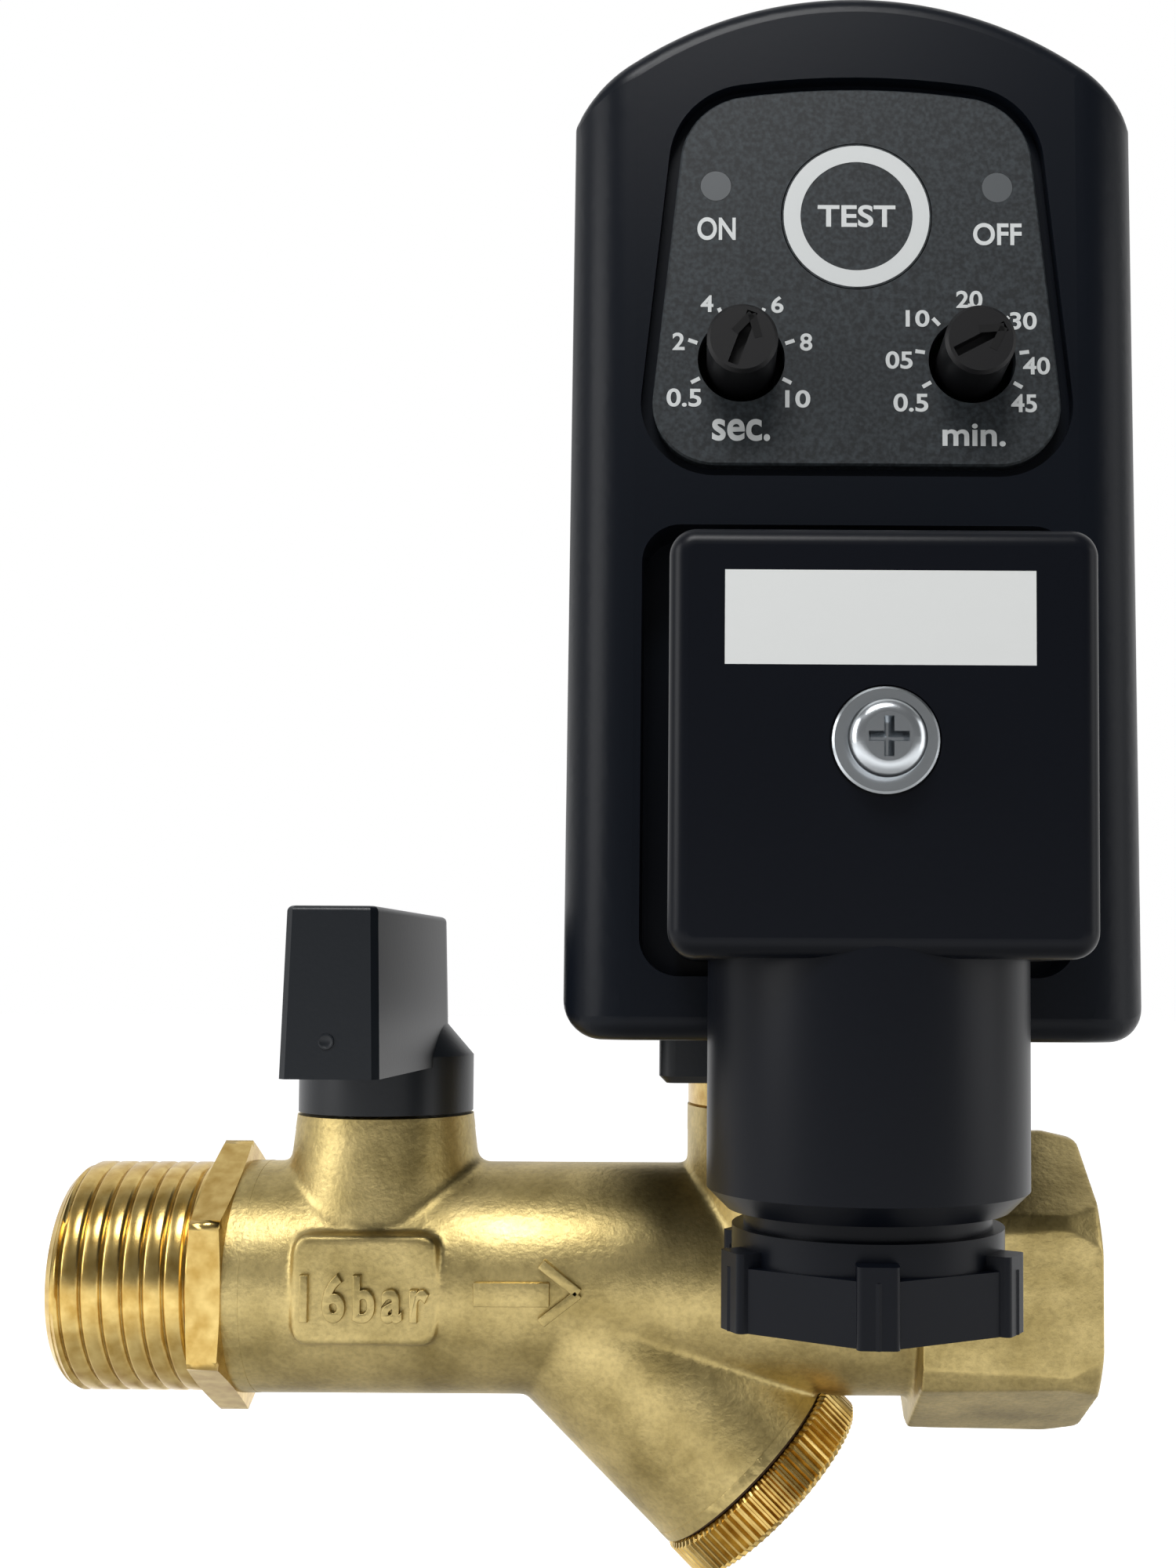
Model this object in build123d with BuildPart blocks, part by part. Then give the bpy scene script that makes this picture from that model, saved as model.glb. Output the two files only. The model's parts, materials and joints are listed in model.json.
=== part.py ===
"""Timer-controlled condensate drain valve for compressed air.

A brass body carries, along the flow, a screwed-in inlet nipple, a quarter-turn ball
valve, a Y-strainer with a knurled cap, a solenoid-operated seat and a female outlet.
A black timer case stands on the solenoid coil and takes a square cable connector.

Frame: millimetres, +X along the flow with the origin in the inlet end face on the
pipe axis, +Z up along the solenoid axis, -Y towards the control panel.
"""

from build123d import *
import os
from math import cos, radians, sin, sqrt, tan

os.makedirs("parts", exist_ok=True)

# ---------------------------------------------------------------------------
# Driving dimensions
# ---------------------------------------------------------------------------

# Fits
PRESS_GAP = 0.02            # screwed or pressed pieces of one assembly
RUNNING_GAP = 0.08          # radial gap of pieces that turn or slide in each other
LOOSE_GAP = 0.3             # gap of pieces that pass without guiding each other
MOULD_GAP = 0.15            # gap of moulded parts that drop into each other

# Pipe thread G 1/2
THREAD_DIAMETER = 20.955
THREAD_UNDERCUT = 0.145       # outside threads are cut this much under the nominal size
THREAD_CORE = 18.631
INLET_THREAD_LENGTH = 12.75
OUTLET_THREAD_DEPTH = 13.4
THREAD_CHAMFER = 1.2

# Inlet nipple
NIPPLE_HEX_AF = 21.56
NIPPLE_HEX_WIDTH = 3.0
NIPPLE_BORE = 10.5
NIPPLE_SPIGOT_DIAMETER = 18.0
NIPPLE_SEAL_SECTION = 0.8

# Cast body
PIPE_DIAMETER = 21.14
BODY_LENGTH = 76.6          # from the nipple hex to the outlet face
OUTLET_HEX_AF = 24.5
OUTLET_HEX_LENGTH = 15.7
OUTLET_HEX_TURNED = 27.0    # corners are turned down to this diameter
OUTLET_SHOULDER = 1.5
OUTLET_EDGE = 0.3           # chamfer where the hexagon meets the outlet face
CAST_FILLET = 1.1
PASSAGE_DIAMETER = 8.0
SLANT_DIAMETER = 3.4

# Ball valve
BALL_X = 28.0
BALL_DIAMETER = 15.0
BALL_BORE = 9.5
SEAT_BORE = 9.8
SEAT_REACH = 8.3            # seat back face from the ball centre
SEAT_LIP = 5.0              # seat front face from the ball centre
CAVITY_DIAMETER = 16.0
NECK_TOP_DIAMETER = 16.2
NECK_ROOT_DIAMETER = 19.8
NECK_TOP = 15.1
STEM_DIAMETER = 7.0
STEM_COLLAR_DIAMETER = 9.2
STEM_COLLAR_TOP = 9.4
STEM_TANG = 3.0
STEM_TANG_LENGTH = 6.4
STEM_TANG_BOTTOM = 5.3
STEM_SQUARE = 5.0
STEM_TOP = 26.5
STEM_RING_SECTION = 1.3
STEM_RING_HEIGHTS = (11.1, 13.3)

# Lever handle
HANDLE_BOTTOM = 15.4
SKIRT_DIAMETER = 16.1
SKIRT_TOP = 20.6
SKIRT_WALL = 1.7
HUB_DIAMETER = 11.4
HUB_CONE_TOP = 23.7
LEVER_TOP = 33.5
LEVER_BOTTOM = 19.7
LEVER_WIDTH = 7.9           # at the lower edge
LEVER_REACH = 24.8          # tip from the turning axis
LEVER_DRAFT = 1.6           # degrees
HANDLE_SCREW_DIAMETER = 3.0
HANDLE_SCREW_HEAD = 5.4
HANDLE_SCREW_HEAD_HEIGHT = 2.0
HANDLE_SCREW_LENGTH = 9.0

# Raised pad for the pressure rating
PAD_WIDTH = 12.6
PAD_HEIGHT = 9.5
PAD_CORNER = 1.3
PAD_X = 28.3
PAD_Z = 0.6
PAD_PROUD = 0.55

# Strainer branch, its axis 45 degrees below the outlet side of the pipe
STRAINER_X = 45.3
STRAINER_ANGLE = 45.0
BRANCH_DIAMETER = 20.4
BRANCH_LENGTH = 23.1
BRANCH_BORE = 14.6
BRANCH_BORE_START = -2.0
CAP_THREAD_DIAMETER = 16.6
CAP_THREAD_DEPTH = 6.0
CAP_DIAMETER = 20.8
CAP_HEAD = 4.1
CAP_SEAL_THICKNESS = 0.35
SCREEN_DIAMETER = 12.4
SCREEN_WALL = 0.5
SCREEN_START = -1.6

# Solenoid seat and armature
SOLENOID_X = 69.3
BOSS_DIAMETER = 26.1
BOSS_TOP = 16.15
BOSS_BOTTOM = 1.5
BOSS_ROOT = 5.5             # below the pipe axis, where the boss runs out
CHAMBER_DIAMETER = 18.0
CHAMBER_FLOOR = 7.0
SEAT_NOSE_DIAMETER = 5.0
SEAT_NOSE_HEIGHT = 1.6
SEAT_ORIFICE = 2.4
SLANT_BACK = 12.5           # where the slanting hole starts, ahead of the solenoid axis
SLANT_DROP = 3.0
FLANGE_THICKNESS = 2.8
TUBE_SPIGOT_LENGTH = 5.0
TUBE_DIAMETER = 11.0
TUBE_BORE = 9.4
TUBE_TOP = 63.0
TUBE_RING_SECTION = 1.5
PLUNGER_LENGTH = 29.0
PLUNGER_STROKE = 1.8
PLUNGER_GROOVE = 1.2
PLUNGER_SEAL_DIAMETER = 5.6
PLUNGER_SEAL_THICKNESS = 1.6
SPRING_POCKET_DIAMETER = 5.2
SPRING_POCKET_DEPTH = 9.0
SPRING_WIRE = 0.5
SPRING_DIAMETER = 4.0
SPRING_TURNS = 6
CORE_GAP = 0.25             # left between plunger and fixed core when open
SHADING_RING_DIAMETER = 7.2
SHADING_RING_SECTION = 0.8

# Coil
COIL_WIDTH = 30.8
COIL_TOP = 60.0
COIL_CORNER = 1.4
COIL_WALL = 2.0
BOBBIN_WALL = 1.0
BOBBIN_FLANGE = 1.2
BOBBIN_DIAMETER = 25.0
WINDING_DIAMETER = 23.4
YOKE_THICKNESS = 2.0
YOKE_WIDTH = 22.0
COIL_NUT_AF = 14.0
COIL_NUT_HEIGHT = 2.4

# Timer case
CASE_BOTTOM_WIDTH = 45.4
CASE_DRAFT = 0.6            # narrower at the top than at the bottom
CASE_BOTTOM = 23.1
CASE_SPRINGING = 96.9       # where the sides meet the arched top
CASE_APEX = 106.15
CASE_REAR = 25.0
CASE_LEAN = 1.7             # degrees that the front leans back
CASE_FRONT = 30.7           # front face ahead of the solenoid axis, at the bottom edge
CASE_WALL = 2.2
CASE_CORNER = 3.2
CASE_TOP_CORNER = 1.2
CASE_EDGE = 5.5             # round of the upright front edges
CASE_RIM = 1.8              # round of the arched and the bottom front edges
REAR_COVER_THICKNESS = 2.4
REAR_COVER_LIP = 1.6
REAR_COVER_STEP = 1.2

# Control panel, measured up the leaning face from the bottom edge of the case
PANEL_BOTTOM = 43.7
PANEL_SHOULDER = 74.3
PANEL_APEX = 75.9
PANEL_BOTTOM_WIDTH = 34.9
PANEL_TOP_WIDTH = 28.4
PANEL_BOTTOM_CORNER = 5.8
PANEL_TOP_CORNER = 6.5
PANEL_GROOVE = 0.9
PANEL_THICKNESS = 1.1
PANEL_SEAT_DEPTH = 1.2
DIAL_HEIGHT = 53.0
DIAL_SPACING = 18.0
KNOB_DIAMETER = 5.4
KNOB_PROUD = 4.1
KNOB_HOLE = 6.8
KNOB_SHAFT_DIAMETER = 3.0
KNOB_SLOT_WIDTH = 0.8
KNOB_SLOT_DEPTH = 0.9
ON_POINTER = 20.0           # degrees clockwise from upright, as last set
OFF_POINTER = 62.0
BUTTON_HEIGHT = 64.6
BUTTON_DIAMETER = 11.7
BUTTON_TRAVEL = 0.5
BUTTON_STEM_DIAMETER = 3.4
BUTTON_FLANGE = 1.2         # how far the hidden flange reaches past the face
BUTTON_FLANGE_THICKNESS = 0.8
LED_HEIGHT = 67.0
LED_SPACING = 22.1
LED_DIAMETER = 2.4

# Electronics behind the panel
BOARD_DEPTH = 10.4          # board front face behind the case front
BOARD_THICKNESS = 1.6
BOARD_BOTTOM = 42.4
BOARD_HEIGHT = 31.0
BOARD_WIDTH = 36.0
TRIMMER_SIDE = 6.6
TRIMMER_HEIGHT = 4.0
SWITCH_SIDE = 6.0
SWITCH_HEIGHT = 3.4
LED_FLANGE = 0.6

# Connector pocket and terminals
CONNECTOR_Z = 43.3          # axis of the connector screw
POCKET_WIDTH = 33.2
POCKET_TOP = 62.9
POCKET_BOTTOM = 28.0
POCKET_CORNER = 3.0
POCKET_FLOOR = 24.4         # ahead of the solenoid axis
POCKET_WALL = 1.8
TERMINAL_BASE_SIDE = 24.0
TERMINAL_BASE_DEPTH = 5.0
BLADE_WIDTH = 6.3
BLADE_THICKNESS = 0.8
BLADE_LENGTH = 11.0
BLADE_PITCH = 18.0
EARTH_OFFSET = 9.0
GASKET_SIDE = 26.6
GASKET_THICKNESS = 0.9

# Cable connector
CONNECTOR_SIDE = 28.2
CONNECTOR_FRONT = 49.2      # ahead of the solenoid axis
CONNECTOR_EDGE = 1.3
CONNECTOR_WALL = 2.2
CONNECTOR_CORNER = 1.8
INSERT_SIDE = 23.0
INSERT_DEPTH = 13.0
SCREW_THREAD = 3.0
SCREW_HEAD_DIAMETER = 5.2
SCREW_HEAD_HEIGHT = 1.7
SCREW_CROSS = 2.6
SCREW_REACH = 3.2           # into the terminal base
WASHER_DIAMETER = 7.0
WASHER_THICKNESS = 0.7
WASHER_SUNK = 0.35

# Cable gland
GLAND_FORWARD = 37.7        # gland axis ahead of the solenoid axis
GLAND_DIAMETER = 22.8
GLAND_BOTTOM = 11.8
GLAND_CHAMFER = 1.4
GLAND_THREAD_DIAMETER = 17.6
NUT_TOP = 10.6
NUT_COLLAR_DIAMETER = 19.2
NUT_COLLAR_BOTTOM = 8.4
NUT_BOTTOM = 4.1
NUT_HEX_AF = 19.6
NUT_LUG_TOP = 9.4
NUT_LUG_WIDTH = 2.8
NUT_LUG_DIAMETER = 22.4
NUT_TURN = -2.0             # degrees, how far the nut happens to be turned
NUT_THREAD_LENGTH = 7.0
CABLE_HOLE = 10.4
GLAND_SEAL_HEIGHT = 5.6
GLAND_SEAL_BORE = 7.5
GLAND_RING_THICKNESS = 0.8

# ---------------------------------------------------------------------------
# Derived places
# ---------------------------------------------------------------------------
CASE_TOP_WIDTH = CASE_BOTTOM_WIDTH - CASE_DRAFT
POINTERS = (ON_POINTER, OFF_POINTER)

HEX_RIGHT = INLET_THREAD_LENGTH + NIPPLE_HEX_WIDTH
NIPPLE_SPIGOT_LENGTH = BALL_X - SEAT_REACH - PRESS_GAP - HEX_RIGHT
OUTLET_FACE = HEX_RIGHT + BODY_LENGTH
OUTLET_HEX_START = OUTLET_FACE - OUTLET_HEX_LENGTH
OUTLET_THREAD_START = OUTLET_FACE - OUTLET_THREAD_DEPTH
FLANGE_TOP = BOSS_TOP + FLANGE_THICKNESS
SEAT_TOP = CHAMBER_FLOOR + SEAT_NOSE_HEIGHT
PLUNGER_TOP = SEAT_TOP + PLUNGER_LENGTH
CORE_BOTTOM = PLUNGER_TOP + PLUNGER_STROKE + CORE_GAP
COIL_BOTTOM = FLANGE_TOP
YOKE_BOTTOM = COIL_BOTTOM + COIL_WALL + PRESS_GAP
YOKE_TOP = COIL_TOP - COIL_WALL - PRESS_GAP
BOBBIN_BOTTOM = YOKE_BOTTOM + YOKE_THICKNESS + PRESS_GAP
BOBBIN_TOP = YOKE_TOP - YOKE_THICKNESS - PRESS_GAP
CAP_FACE = BRANCH_LENGTH + CAP_SEAL_THICKNESS
CONNECTOR_REAR = POCKET_FLOOR + GASKET_THICKNESS
CONNECTOR_BOTTOM = CONNECTOR_Z - CONNECTOR_SIDE / 2
GLAND_LEDGE = NUT_TOP + NUT_THREAD_LENGTH + GLAND_RING_THICKNESS + GLAND_SEAL_HEIGHT + 2 * PRESS_GAP

INLET_AXIS = Plane.YZ
BALL_PLANE = Plane(origin=(BALL_X, 0, 0))
BRANCH_PLANE = Plane(
    origin=(STRAINER_X, 0, 0),
    x_dir=(0, 1, 0),
    z_dir=(cos(radians(STRAINER_ANGLE)), 0, -sin(radians(STRAINER_ANGLE))),
)
SOLENOID_PLANE = Plane(origin=(SOLENOID_X, 0, 0))
# The leaning front face of the case: +y runs up the face, +z points out of it.
LEAN = radians(CASE_LEAN)
FACE_PLANE = Plane(
    origin=(SOLENOID_X, -CASE_FRONT, CASE_BOTTOM),
    x_dir=(1, 0, 0),
    z_dir=(0, -cos(LEAN), sin(LEAN)),
)
# The upright plane of the connector, its +z pointing forward, out of the case.
CONNECTOR_PLANE = Plane(origin=(SOLENOID_X, 0, CONNECTOR_Z), x_dir=(1, 0, 0), z_dir=(0, -1, 0))
GLAND_PLANE = Plane(origin=(SOLENOID_X, -GLAND_FORWARD, 0))
# The slanting hole runs from beside the screen up into the armature chamber.
SLANT_START = (SOLENOID_X - SLANT_BACK, 0, -SLANT_DROP)
SLANT_END = (SOLENOID_X - 5.0, 0, CHAMBER_FLOOR + 0.5)
SLANT_RUN = Vector(*SLANT_END) - Vector(*SLANT_START)
SLANT_LENGTH = SLANT_RUN.length
SLANT_PLANE = Plane(origin=SLANT_START, z_dir=SLANT_RUN)
NUT_LUG_ANGLES = [-90 + NUT_TURN + 60 * index for index in range(6)]


def shifted(plane, along):
    """The same plane moved along its own normal."""
    return plane.offset(along)


def save(builder, label):
    """Name a finished piece and write it out."""
    builder.part.label = label
    export_step(builder.part, f"parts/{label}.step")


# ---------------------------------------------------------------------------
# Brass body and inlet
# ---------------------------------------------------------------------------

with BuildPart() as inlet_nipple:
    with BuildSketch(INLET_AXIS):
        Circle((THREAD_DIAMETER - THREAD_UNDERCUT) / 2)
    extrude(amount=INLET_THREAD_LENGTH)
    chamfer(inlet_nipple.faces().sort_by(Axis.X)[0].edges(), THREAD_CHAMFER)
    with BuildSketch(shifted(INLET_AXIS, INLET_THREAD_LENGTH)):
        RegularPolygon(NIPPLE_HEX_AF / 2, 6, major_radius=False, rotation=90)
    extrude(amount=NIPPLE_HEX_WIDTH)
    # Both faces of the hexagon are turned, which cuts its corners to a cone.
    with BuildSketch(Plane.XZ) as turned:
        with BuildLine():
            Polyline(
                (0, 0),
                (0, NIPPLE_HEX_AF * 0.6),
                (INLET_THREAD_LENGTH, NIPPLE_HEX_AF / 2),
                (INLET_THREAD_LENGTH + NIPPLE_HEX_WIDTH * 0.1, NIPPLE_HEX_AF * 0.6),
                (HEX_RIGHT - NIPPLE_HEX_WIDTH * 0.1, NIPPLE_HEX_AF * 0.6),
                (HEX_RIGHT, NIPPLE_HEX_AF / 2),
                (HEX_RIGHT, 0),
                close=True,
            )
        make_face()
    revolve(axis=Axis.X, mode=Mode.INTERSECT)
    with BuildSketch(shifted(INLET_AXIS, HEX_RIGHT)):
        Circle(NIPPLE_SPIGOT_DIAMETER / 2 - PRESS_GAP)
    extrude(amount=NIPPLE_SPIGOT_LENGTH)
    with BuildSketch(INLET_AXIS):
        Circle(NIPPLE_BORE / 2)
    extrude(amount=HEX_RIGHT + NIPPLE_SPIGOT_LENGTH, mode=Mode.SUBTRACT)
    # Seat of the sealing ring at the root of the spigot.
    with BuildSketch(shifted(INLET_AXIS, HEX_RIGHT)):
        Circle(NIPPLE_SPIGOT_DIAMETER / 2)
        Circle(NIPPLE_SPIGOT_DIAMETER / 2 - NIPPLE_SEAL_SECTION, mode=Mode.SUBTRACT)
    extrude(amount=NIPPLE_SEAL_SECTION, mode=Mode.SUBTRACT)
    chamfer(inlet_nipple.edges().filter_by(GeomType.CIRCLE).sort_by(Axis.X)[0], 0.4)
save(inlet_nipple, "inlet_nipple")

with BuildPart() as nipple_seal:
    with BuildSketch(shifted(INLET_AXIS, HEX_RIGHT + PRESS_GAP)):
        Circle(NIPPLE_SPIGOT_DIAMETER / 2 - PRESS_GAP)
        Circle(NIPPLE_SPIGOT_DIAMETER / 2 - NIPPLE_SEAL_SECTION + PRESS_GAP, mode=Mode.SUBTRACT)
    extrude(amount=NIPPLE_SEAL_SECTION - 2 * PRESS_GAP)
save(nipple_seal, "nipple_seal")

with BuildPart() as valve_body:
    # Pipe from the nipple to the outlet hexagon.
    with BuildSketch(shifted(INLET_AXIS, HEX_RIGHT)):
        Circle(PIPE_DIAMETER / 2)
    extrude(amount=OUTLET_HEX_START - HEX_RIGHT)
    # Neck of the ball valve, tapered like a draughted casting.
    with BuildSketch(BALL_PLANE):
        Circle(NECK_ROOT_DIAMETER / 2)
    with BuildSketch(shifted(BALL_PLANE, NECK_TOP)):
        Circle(NECK_TOP_DIAMETER / 2)
    loft()
    fillet(valve_body.edges().filter_by(GeomType.BSPLINE), CAST_FILLET)
    # Solenoid boss, running out under the pipe.
    with BuildSketch(Plane.XZ):
        with BuildLine(Location((SOLENOID_X, 0))):
            Polyline(
                (0, -BOSS_ROOT),
                (0, BOSS_TOP),
                (BOSS_DIAMETER / 2, BOSS_TOP),
                (BOSS_DIAMETER / 2, BOSS_BOTTOM),
                (PIPE_DIAMETER / 2 - 2, -BOSS_ROOT),
                close=True,
            )
        make_face()
    revolve(axis=Axis((SOLENOID_X, 0, 0), (0, 0, 1)))
    # Strainer branch.
    with BuildSketch(BRANCH_PLANE):
        Circle(BRANCH_DIAMETER / 2)
    extrude(amount=BRANCH_LENGTH)
    # Outlet hexagon with its turned corners and the cone behind it.
    with BuildSketch(shifted(INLET_AXIS, OUTLET_HEX_START)):
        RegularPolygon(OUTLET_HEX_AF / 2, 6, major_radius=False, rotation=90)
    extrude(amount=OUTLET_HEX_LENGTH)
    with BuildSketch(Plane.XZ):
        with BuildLine():
            Polyline(
                (0, 0),
                (0, OUTLET_HEX_TURNED),
                (OUTLET_HEX_START - 2 * OUTLET_SHOULDER, OUTLET_HEX_TURNED),
                (OUTLET_HEX_START - OUTLET_SHOULDER, PIPE_DIAMETER / 2),
                (OUTLET_HEX_START, OUTLET_HEX_TURNED / 2),
                (OUTLET_FACE - 2 * OUTLET_SHOULDER, OUTLET_HEX_TURNED / 2 + OUTLET_EDGE),
                (OUTLET_FACE - OUTLET_EDGE, OUTLET_HEX_TURNED / 2 - OUTLET_EDGE),
                (OUTLET_FACE, OUTLET_HEX_TURNED / 2 - 2 * OUTLET_EDGE),
                (OUTLET_FACE, 0),
                close=True,
            )
        make_face()
    revolve(axis=Axis.X, mode=Mode.INTERSECT)
    # Raised flat pad that carries the pressure rating.
    with BuildSketch(Plane.XZ):
        with Locations((PAD_X, PAD_Z)):
            RectangleRounded(PAD_WIDTH, PAD_HEIGHT, PAD_CORNER)
    extrude(amount=PIPE_DIAMETER / 2 + PAD_PROUD)
    # Ball cavity, closed by the nipple, and the way on into the strainer.
    with BuildSketch(shifted(INLET_AXIS, HEX_RIGHT)):
        Circle(NIPPLE_SPIGOT_DIAMETER / 2)
    extrude(amount=NIPPLE_SPIGOT_LENGTH, mode=Mode.SUBTRACT)
    with BuildSketch(shifted(INLET_AXIS, HEX_RIGHT)):
        Circle(CAVITY_DIAMETER / 2)
    extrude(amount=BALL_X + SEAT_REACH + PRESS_GAP - HEX_RIGHT, mode=Mode.SUBTRACT)
    with BuildSketch(INLET_AXIS):
        Circle(SEAT_BORE / 2)
    extrude(amount=STRAINER_X, mode=Mode.SUBTRACT)
    # Stem hole with the recess of its collar.
    with Locations(shifted(BALL_PLANE, NECK_TOP)):
        CounterBoreHole(
            STEM_DIAMETER / 2 + RUNNING_GAP, STEM_DIAMETER / 2 + RUNNING_GAP + 0.6, 0.6, NECK_TOP
        )
    with BuildSketch(BALL_PLANE):
        Circle(STEM_COLLAR_DIAMETER / 2 + RUNNING_GAP)
    extrude(amount=STEM_COLLAR_TOP + RUNNING_GAP, mode=Mode.SUBTRACT)
    # Spot face for the cap, which also clips the underside of the pipe.
    with BuildSketch(shifted(BRANCH_PLANE, BRANCH_LENGTH)):
        Circle(CAP_DIAMETER / 2 + LOOSE_GAP)
    extrude(amount=CAP_HEAD, mode=Mode.SUBTRACT)
    # Strainer chamber, threaded for the cap at its mouth.
    with BuildSketch(shifted(BRANCH_PLANE, BRANCH_BORE_START)):
        Circle(BRANCH_BORE / 2)
    extrude(amount=BRANCH_LENGTH - BRANCH_BORE_START, mode=Mode.SUBTRACT)
    with BuildSketch(shifted(BRANCH_PLANE, BRANCH_LENGTH - CAP_THREAD_DEPTH)):
        Circle(CAP_THREAD_DIAMETER / 2)
    extrude(amount=CAP_THREAD_DEPTH, mode=Mode.SUBTRACT)
    # Armature chamber with the raised nose of the valve seat.
    with BuildSketch(shifted(SOLENOID_PLANE, CHAMBER_FLOOR)):
        Circle(CHAMBER_DIAMETER / 2)
    extrude(amount=BOSS_TOP - CHAMBER_FLOOR, mode=Mode.SUBTRACT)
    with BuildSketch(shifted(SOLENOID_PLANE, CHAMBER_FLOOR)):
        Circle(SEAT_NOSE_DIAMETER / 2)
    extrude(amount=SEAT_NOSE_HEIGHT, taper=10)
    # Outlet passage under the orifice, and the outlet thread.
    with BuildSketch(shifted(INLET_AXIS, SOLENOID_X - PASSAGE_DIAMETER / 2)):
        Circle(PASSAGE_DIAMETER / 2)
    extrude(amount=OUTLET_FACE - SOLENOID_X, mode=Mode.SUBTRACT)
    with BuildSketch(SOLENOID_PLANE):
        Circle(SEAT_ORIFICE / 2)
    extrude(amount=SEAT_TOP, mode=Mode.SUBTRACT)
    with BuildSketch(shifted(INLET_AXIS, OUTLET_THREAD_START)):
        Circle(THREAD_CORE / 2)
    extrude(amount=OUTLET_THREAD_DEPTH, mode=Mode.SUBTRACT)
    # Slanting hole that feeds the armature chamber from around the screen.
    with BuildSketch(SLANT_PLANE):
        Circle(SLANT_DIAMETER / 2)
    extrude(amount=SLANT_LENGTH, mode=Mode.SUBTRACT)
    chamfer(
        valve_body.edges().filter_by(GeomType.CIRCLE).group_by(Axis.X)[-1].sort_by(SortBy.RADIUS)[0],
        0.9,
    )
save(valve_body, "valve_body")

# ---------------------------------------------------------------------------
# Ball valve
# ---------------------------------------------------------------------------

SEAT_SPHERE = BALL_DIAMETER / 2 + RUNNING_GAP / 2
with BuildPart() as ball_seats:
    # Two plastic rings, each cupped to the ball.
    with BuildSketch(Plane.XZ):
        with BuildLine(Location((BALL_X, 0))):
            Polyline(
                (SEAT_LIP, sqrt(SEAT_SPHERE**2 - SEAT_LIP**2)),
                (SEAT_LIP, CAVITY_DIAMETER / 2 - PRESS_GAP),
                (SEAT_REACH, CAVITY_DIAMETER / 2 - PRESS_GAP),
                (SEAT_REACH, SEAT_BORE / 2),
                (sqrt(SEAT_SPHERE**2 - SEAT_BORE**2 / 4), SEAT_BORE / 2),
            )
            RadiusArc(
                (sqrt(SEAT_SPHERE**2 - SEAT_BORE**2 / 4), SEAT_BORE / 2),
                (SEAT_LIP, sqrt(SEAT_SPHERE**2 - SEAT_LIP**2)),
                -SEAT_SPHERE,
            )
        make_face()
    revolve(axis=Axis.X)
    mirror(about=Plane.YZ.offset(BALL_X))
save(ball_seats, "ball_seats")

with BuildPart() as valve_ball:
    # Turned about its bore, which at rest lies across the pipe, so the valve is shut.
    with BuildSketch(Plane.XY):
        with BuildLine(Location((BALL_X, 0))):
            bore_edge = sqrt(BALL_DIAMETER**2 - BALL_BORE**2) / 2
            Line((BALL_BORE / 2, -bore_edge), (BALL_BORE / 2, bore_edge))
            ThreePointArc((BALL_BORE / 2, -bore_edge), (BALL_DIAMETER / 2, 0), (BALL_BORE / 2, bore_edge))
        make_face()
    revolve(axis=Axis((BALL_X, 0, 0), (0, 1, 0)))
    with BuildSketch(shifted(BALL_PLANE, STEM_TANG_BOTTOM - PRESS_GAP)):
        Rectangle(STEM_TANG + 2 * PRESS_GAP, BALL_DIAMETER)
    extrude(amount=BALL_DIAMETER, mode=Mode.SUBTRACT)
save(valve_ball, "valve_ball")

with BuildPart() as valve_stem:
    with BuildSketch(shifted(BALL_PLANE, STEM_TANG_BOTTOM)):
        Rectangle(STEM_TANG, STEM_TANG_LENGTH)
    extrude(amount=BALL_DIAMETER / 2 + RUNNING_GAP - STEM_TANG_BOTTOM)
    with BuildSketch(shifted(BALL_PLANE, BALL_DIAMETER / 2 + RUNNING_GAP)):
        Circle(STEM_COLLAR_DIAMETER / 2)
    extrude(amount=STEM_COLLAR_TOP - BALL_DIAMETER / 2 - RUNNING_GAP)
    with BuildSketch(shifted(BALL_PLANE, STEM_COLLAR_TOP)):
        Circle(STEM_DIAMETER / 2)
    extrude(amount=NECK_TOP - STEM_COLLAR_TOP)
    with BuildSketch(shifted(BALL_PLANE, NECK_TOP)):
        Rectangle(STEM_SQUARE, STEM_SQUARE)
    extrude(amount=STEM_TOP - NECK_TOP)
    with BuildSketch(shifted(BALL_PLANE, STEM_TOP)):
        Circle(HANDLE_SCREW_DIAMETER / 2 + PRESS_GAP)
    extrude(amount=-HANDLE_SCREW_LENGTH - PRESS_GAP, mode=Mode.SUBTRACT)
    # Grooves of the two sealing rings.
    for height in STEM_RING_HEIGHTS:
        with BuildSketch(shifted(BALL_PLANE, height - STEM_RING_SECTION / 2)):
            Circle(STEM_DIAMETER / 2 + RUNNING_GAP)
            Circle(STEM_DIAMETER / 2 - STEM_RING_SECTION * 0.8, mode=Mode.SUBTRACT)
        extrude(amount=STEM_RING_SECTION, mode=Mode.SUBTRACT)
save(valve_stem, "valve_stem")

with BuildPart() as stem_rings:
    for height in STEM_RING_HEIGHTS:
        with BuildSketch(shifted(BALL_PLANE, height - STEM_RING_SECTION / 2 + PRESS_GAP)):
            Circle(STEM_DIAMETER / 2)
            Circle(STEM_DIAMETER / 2 - STEM_RING_SECTION * 0.8 + PRESS_GAP, mode=Mode.SUBTRACT)
        extrude(amount=STEM_RING_SECTION - 2 * PRESS_GAP)
    fillet(stem_rings.edges(), STEM_RING_SECTION * 0.3)
save(stem_rings, "stem_rings")

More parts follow.
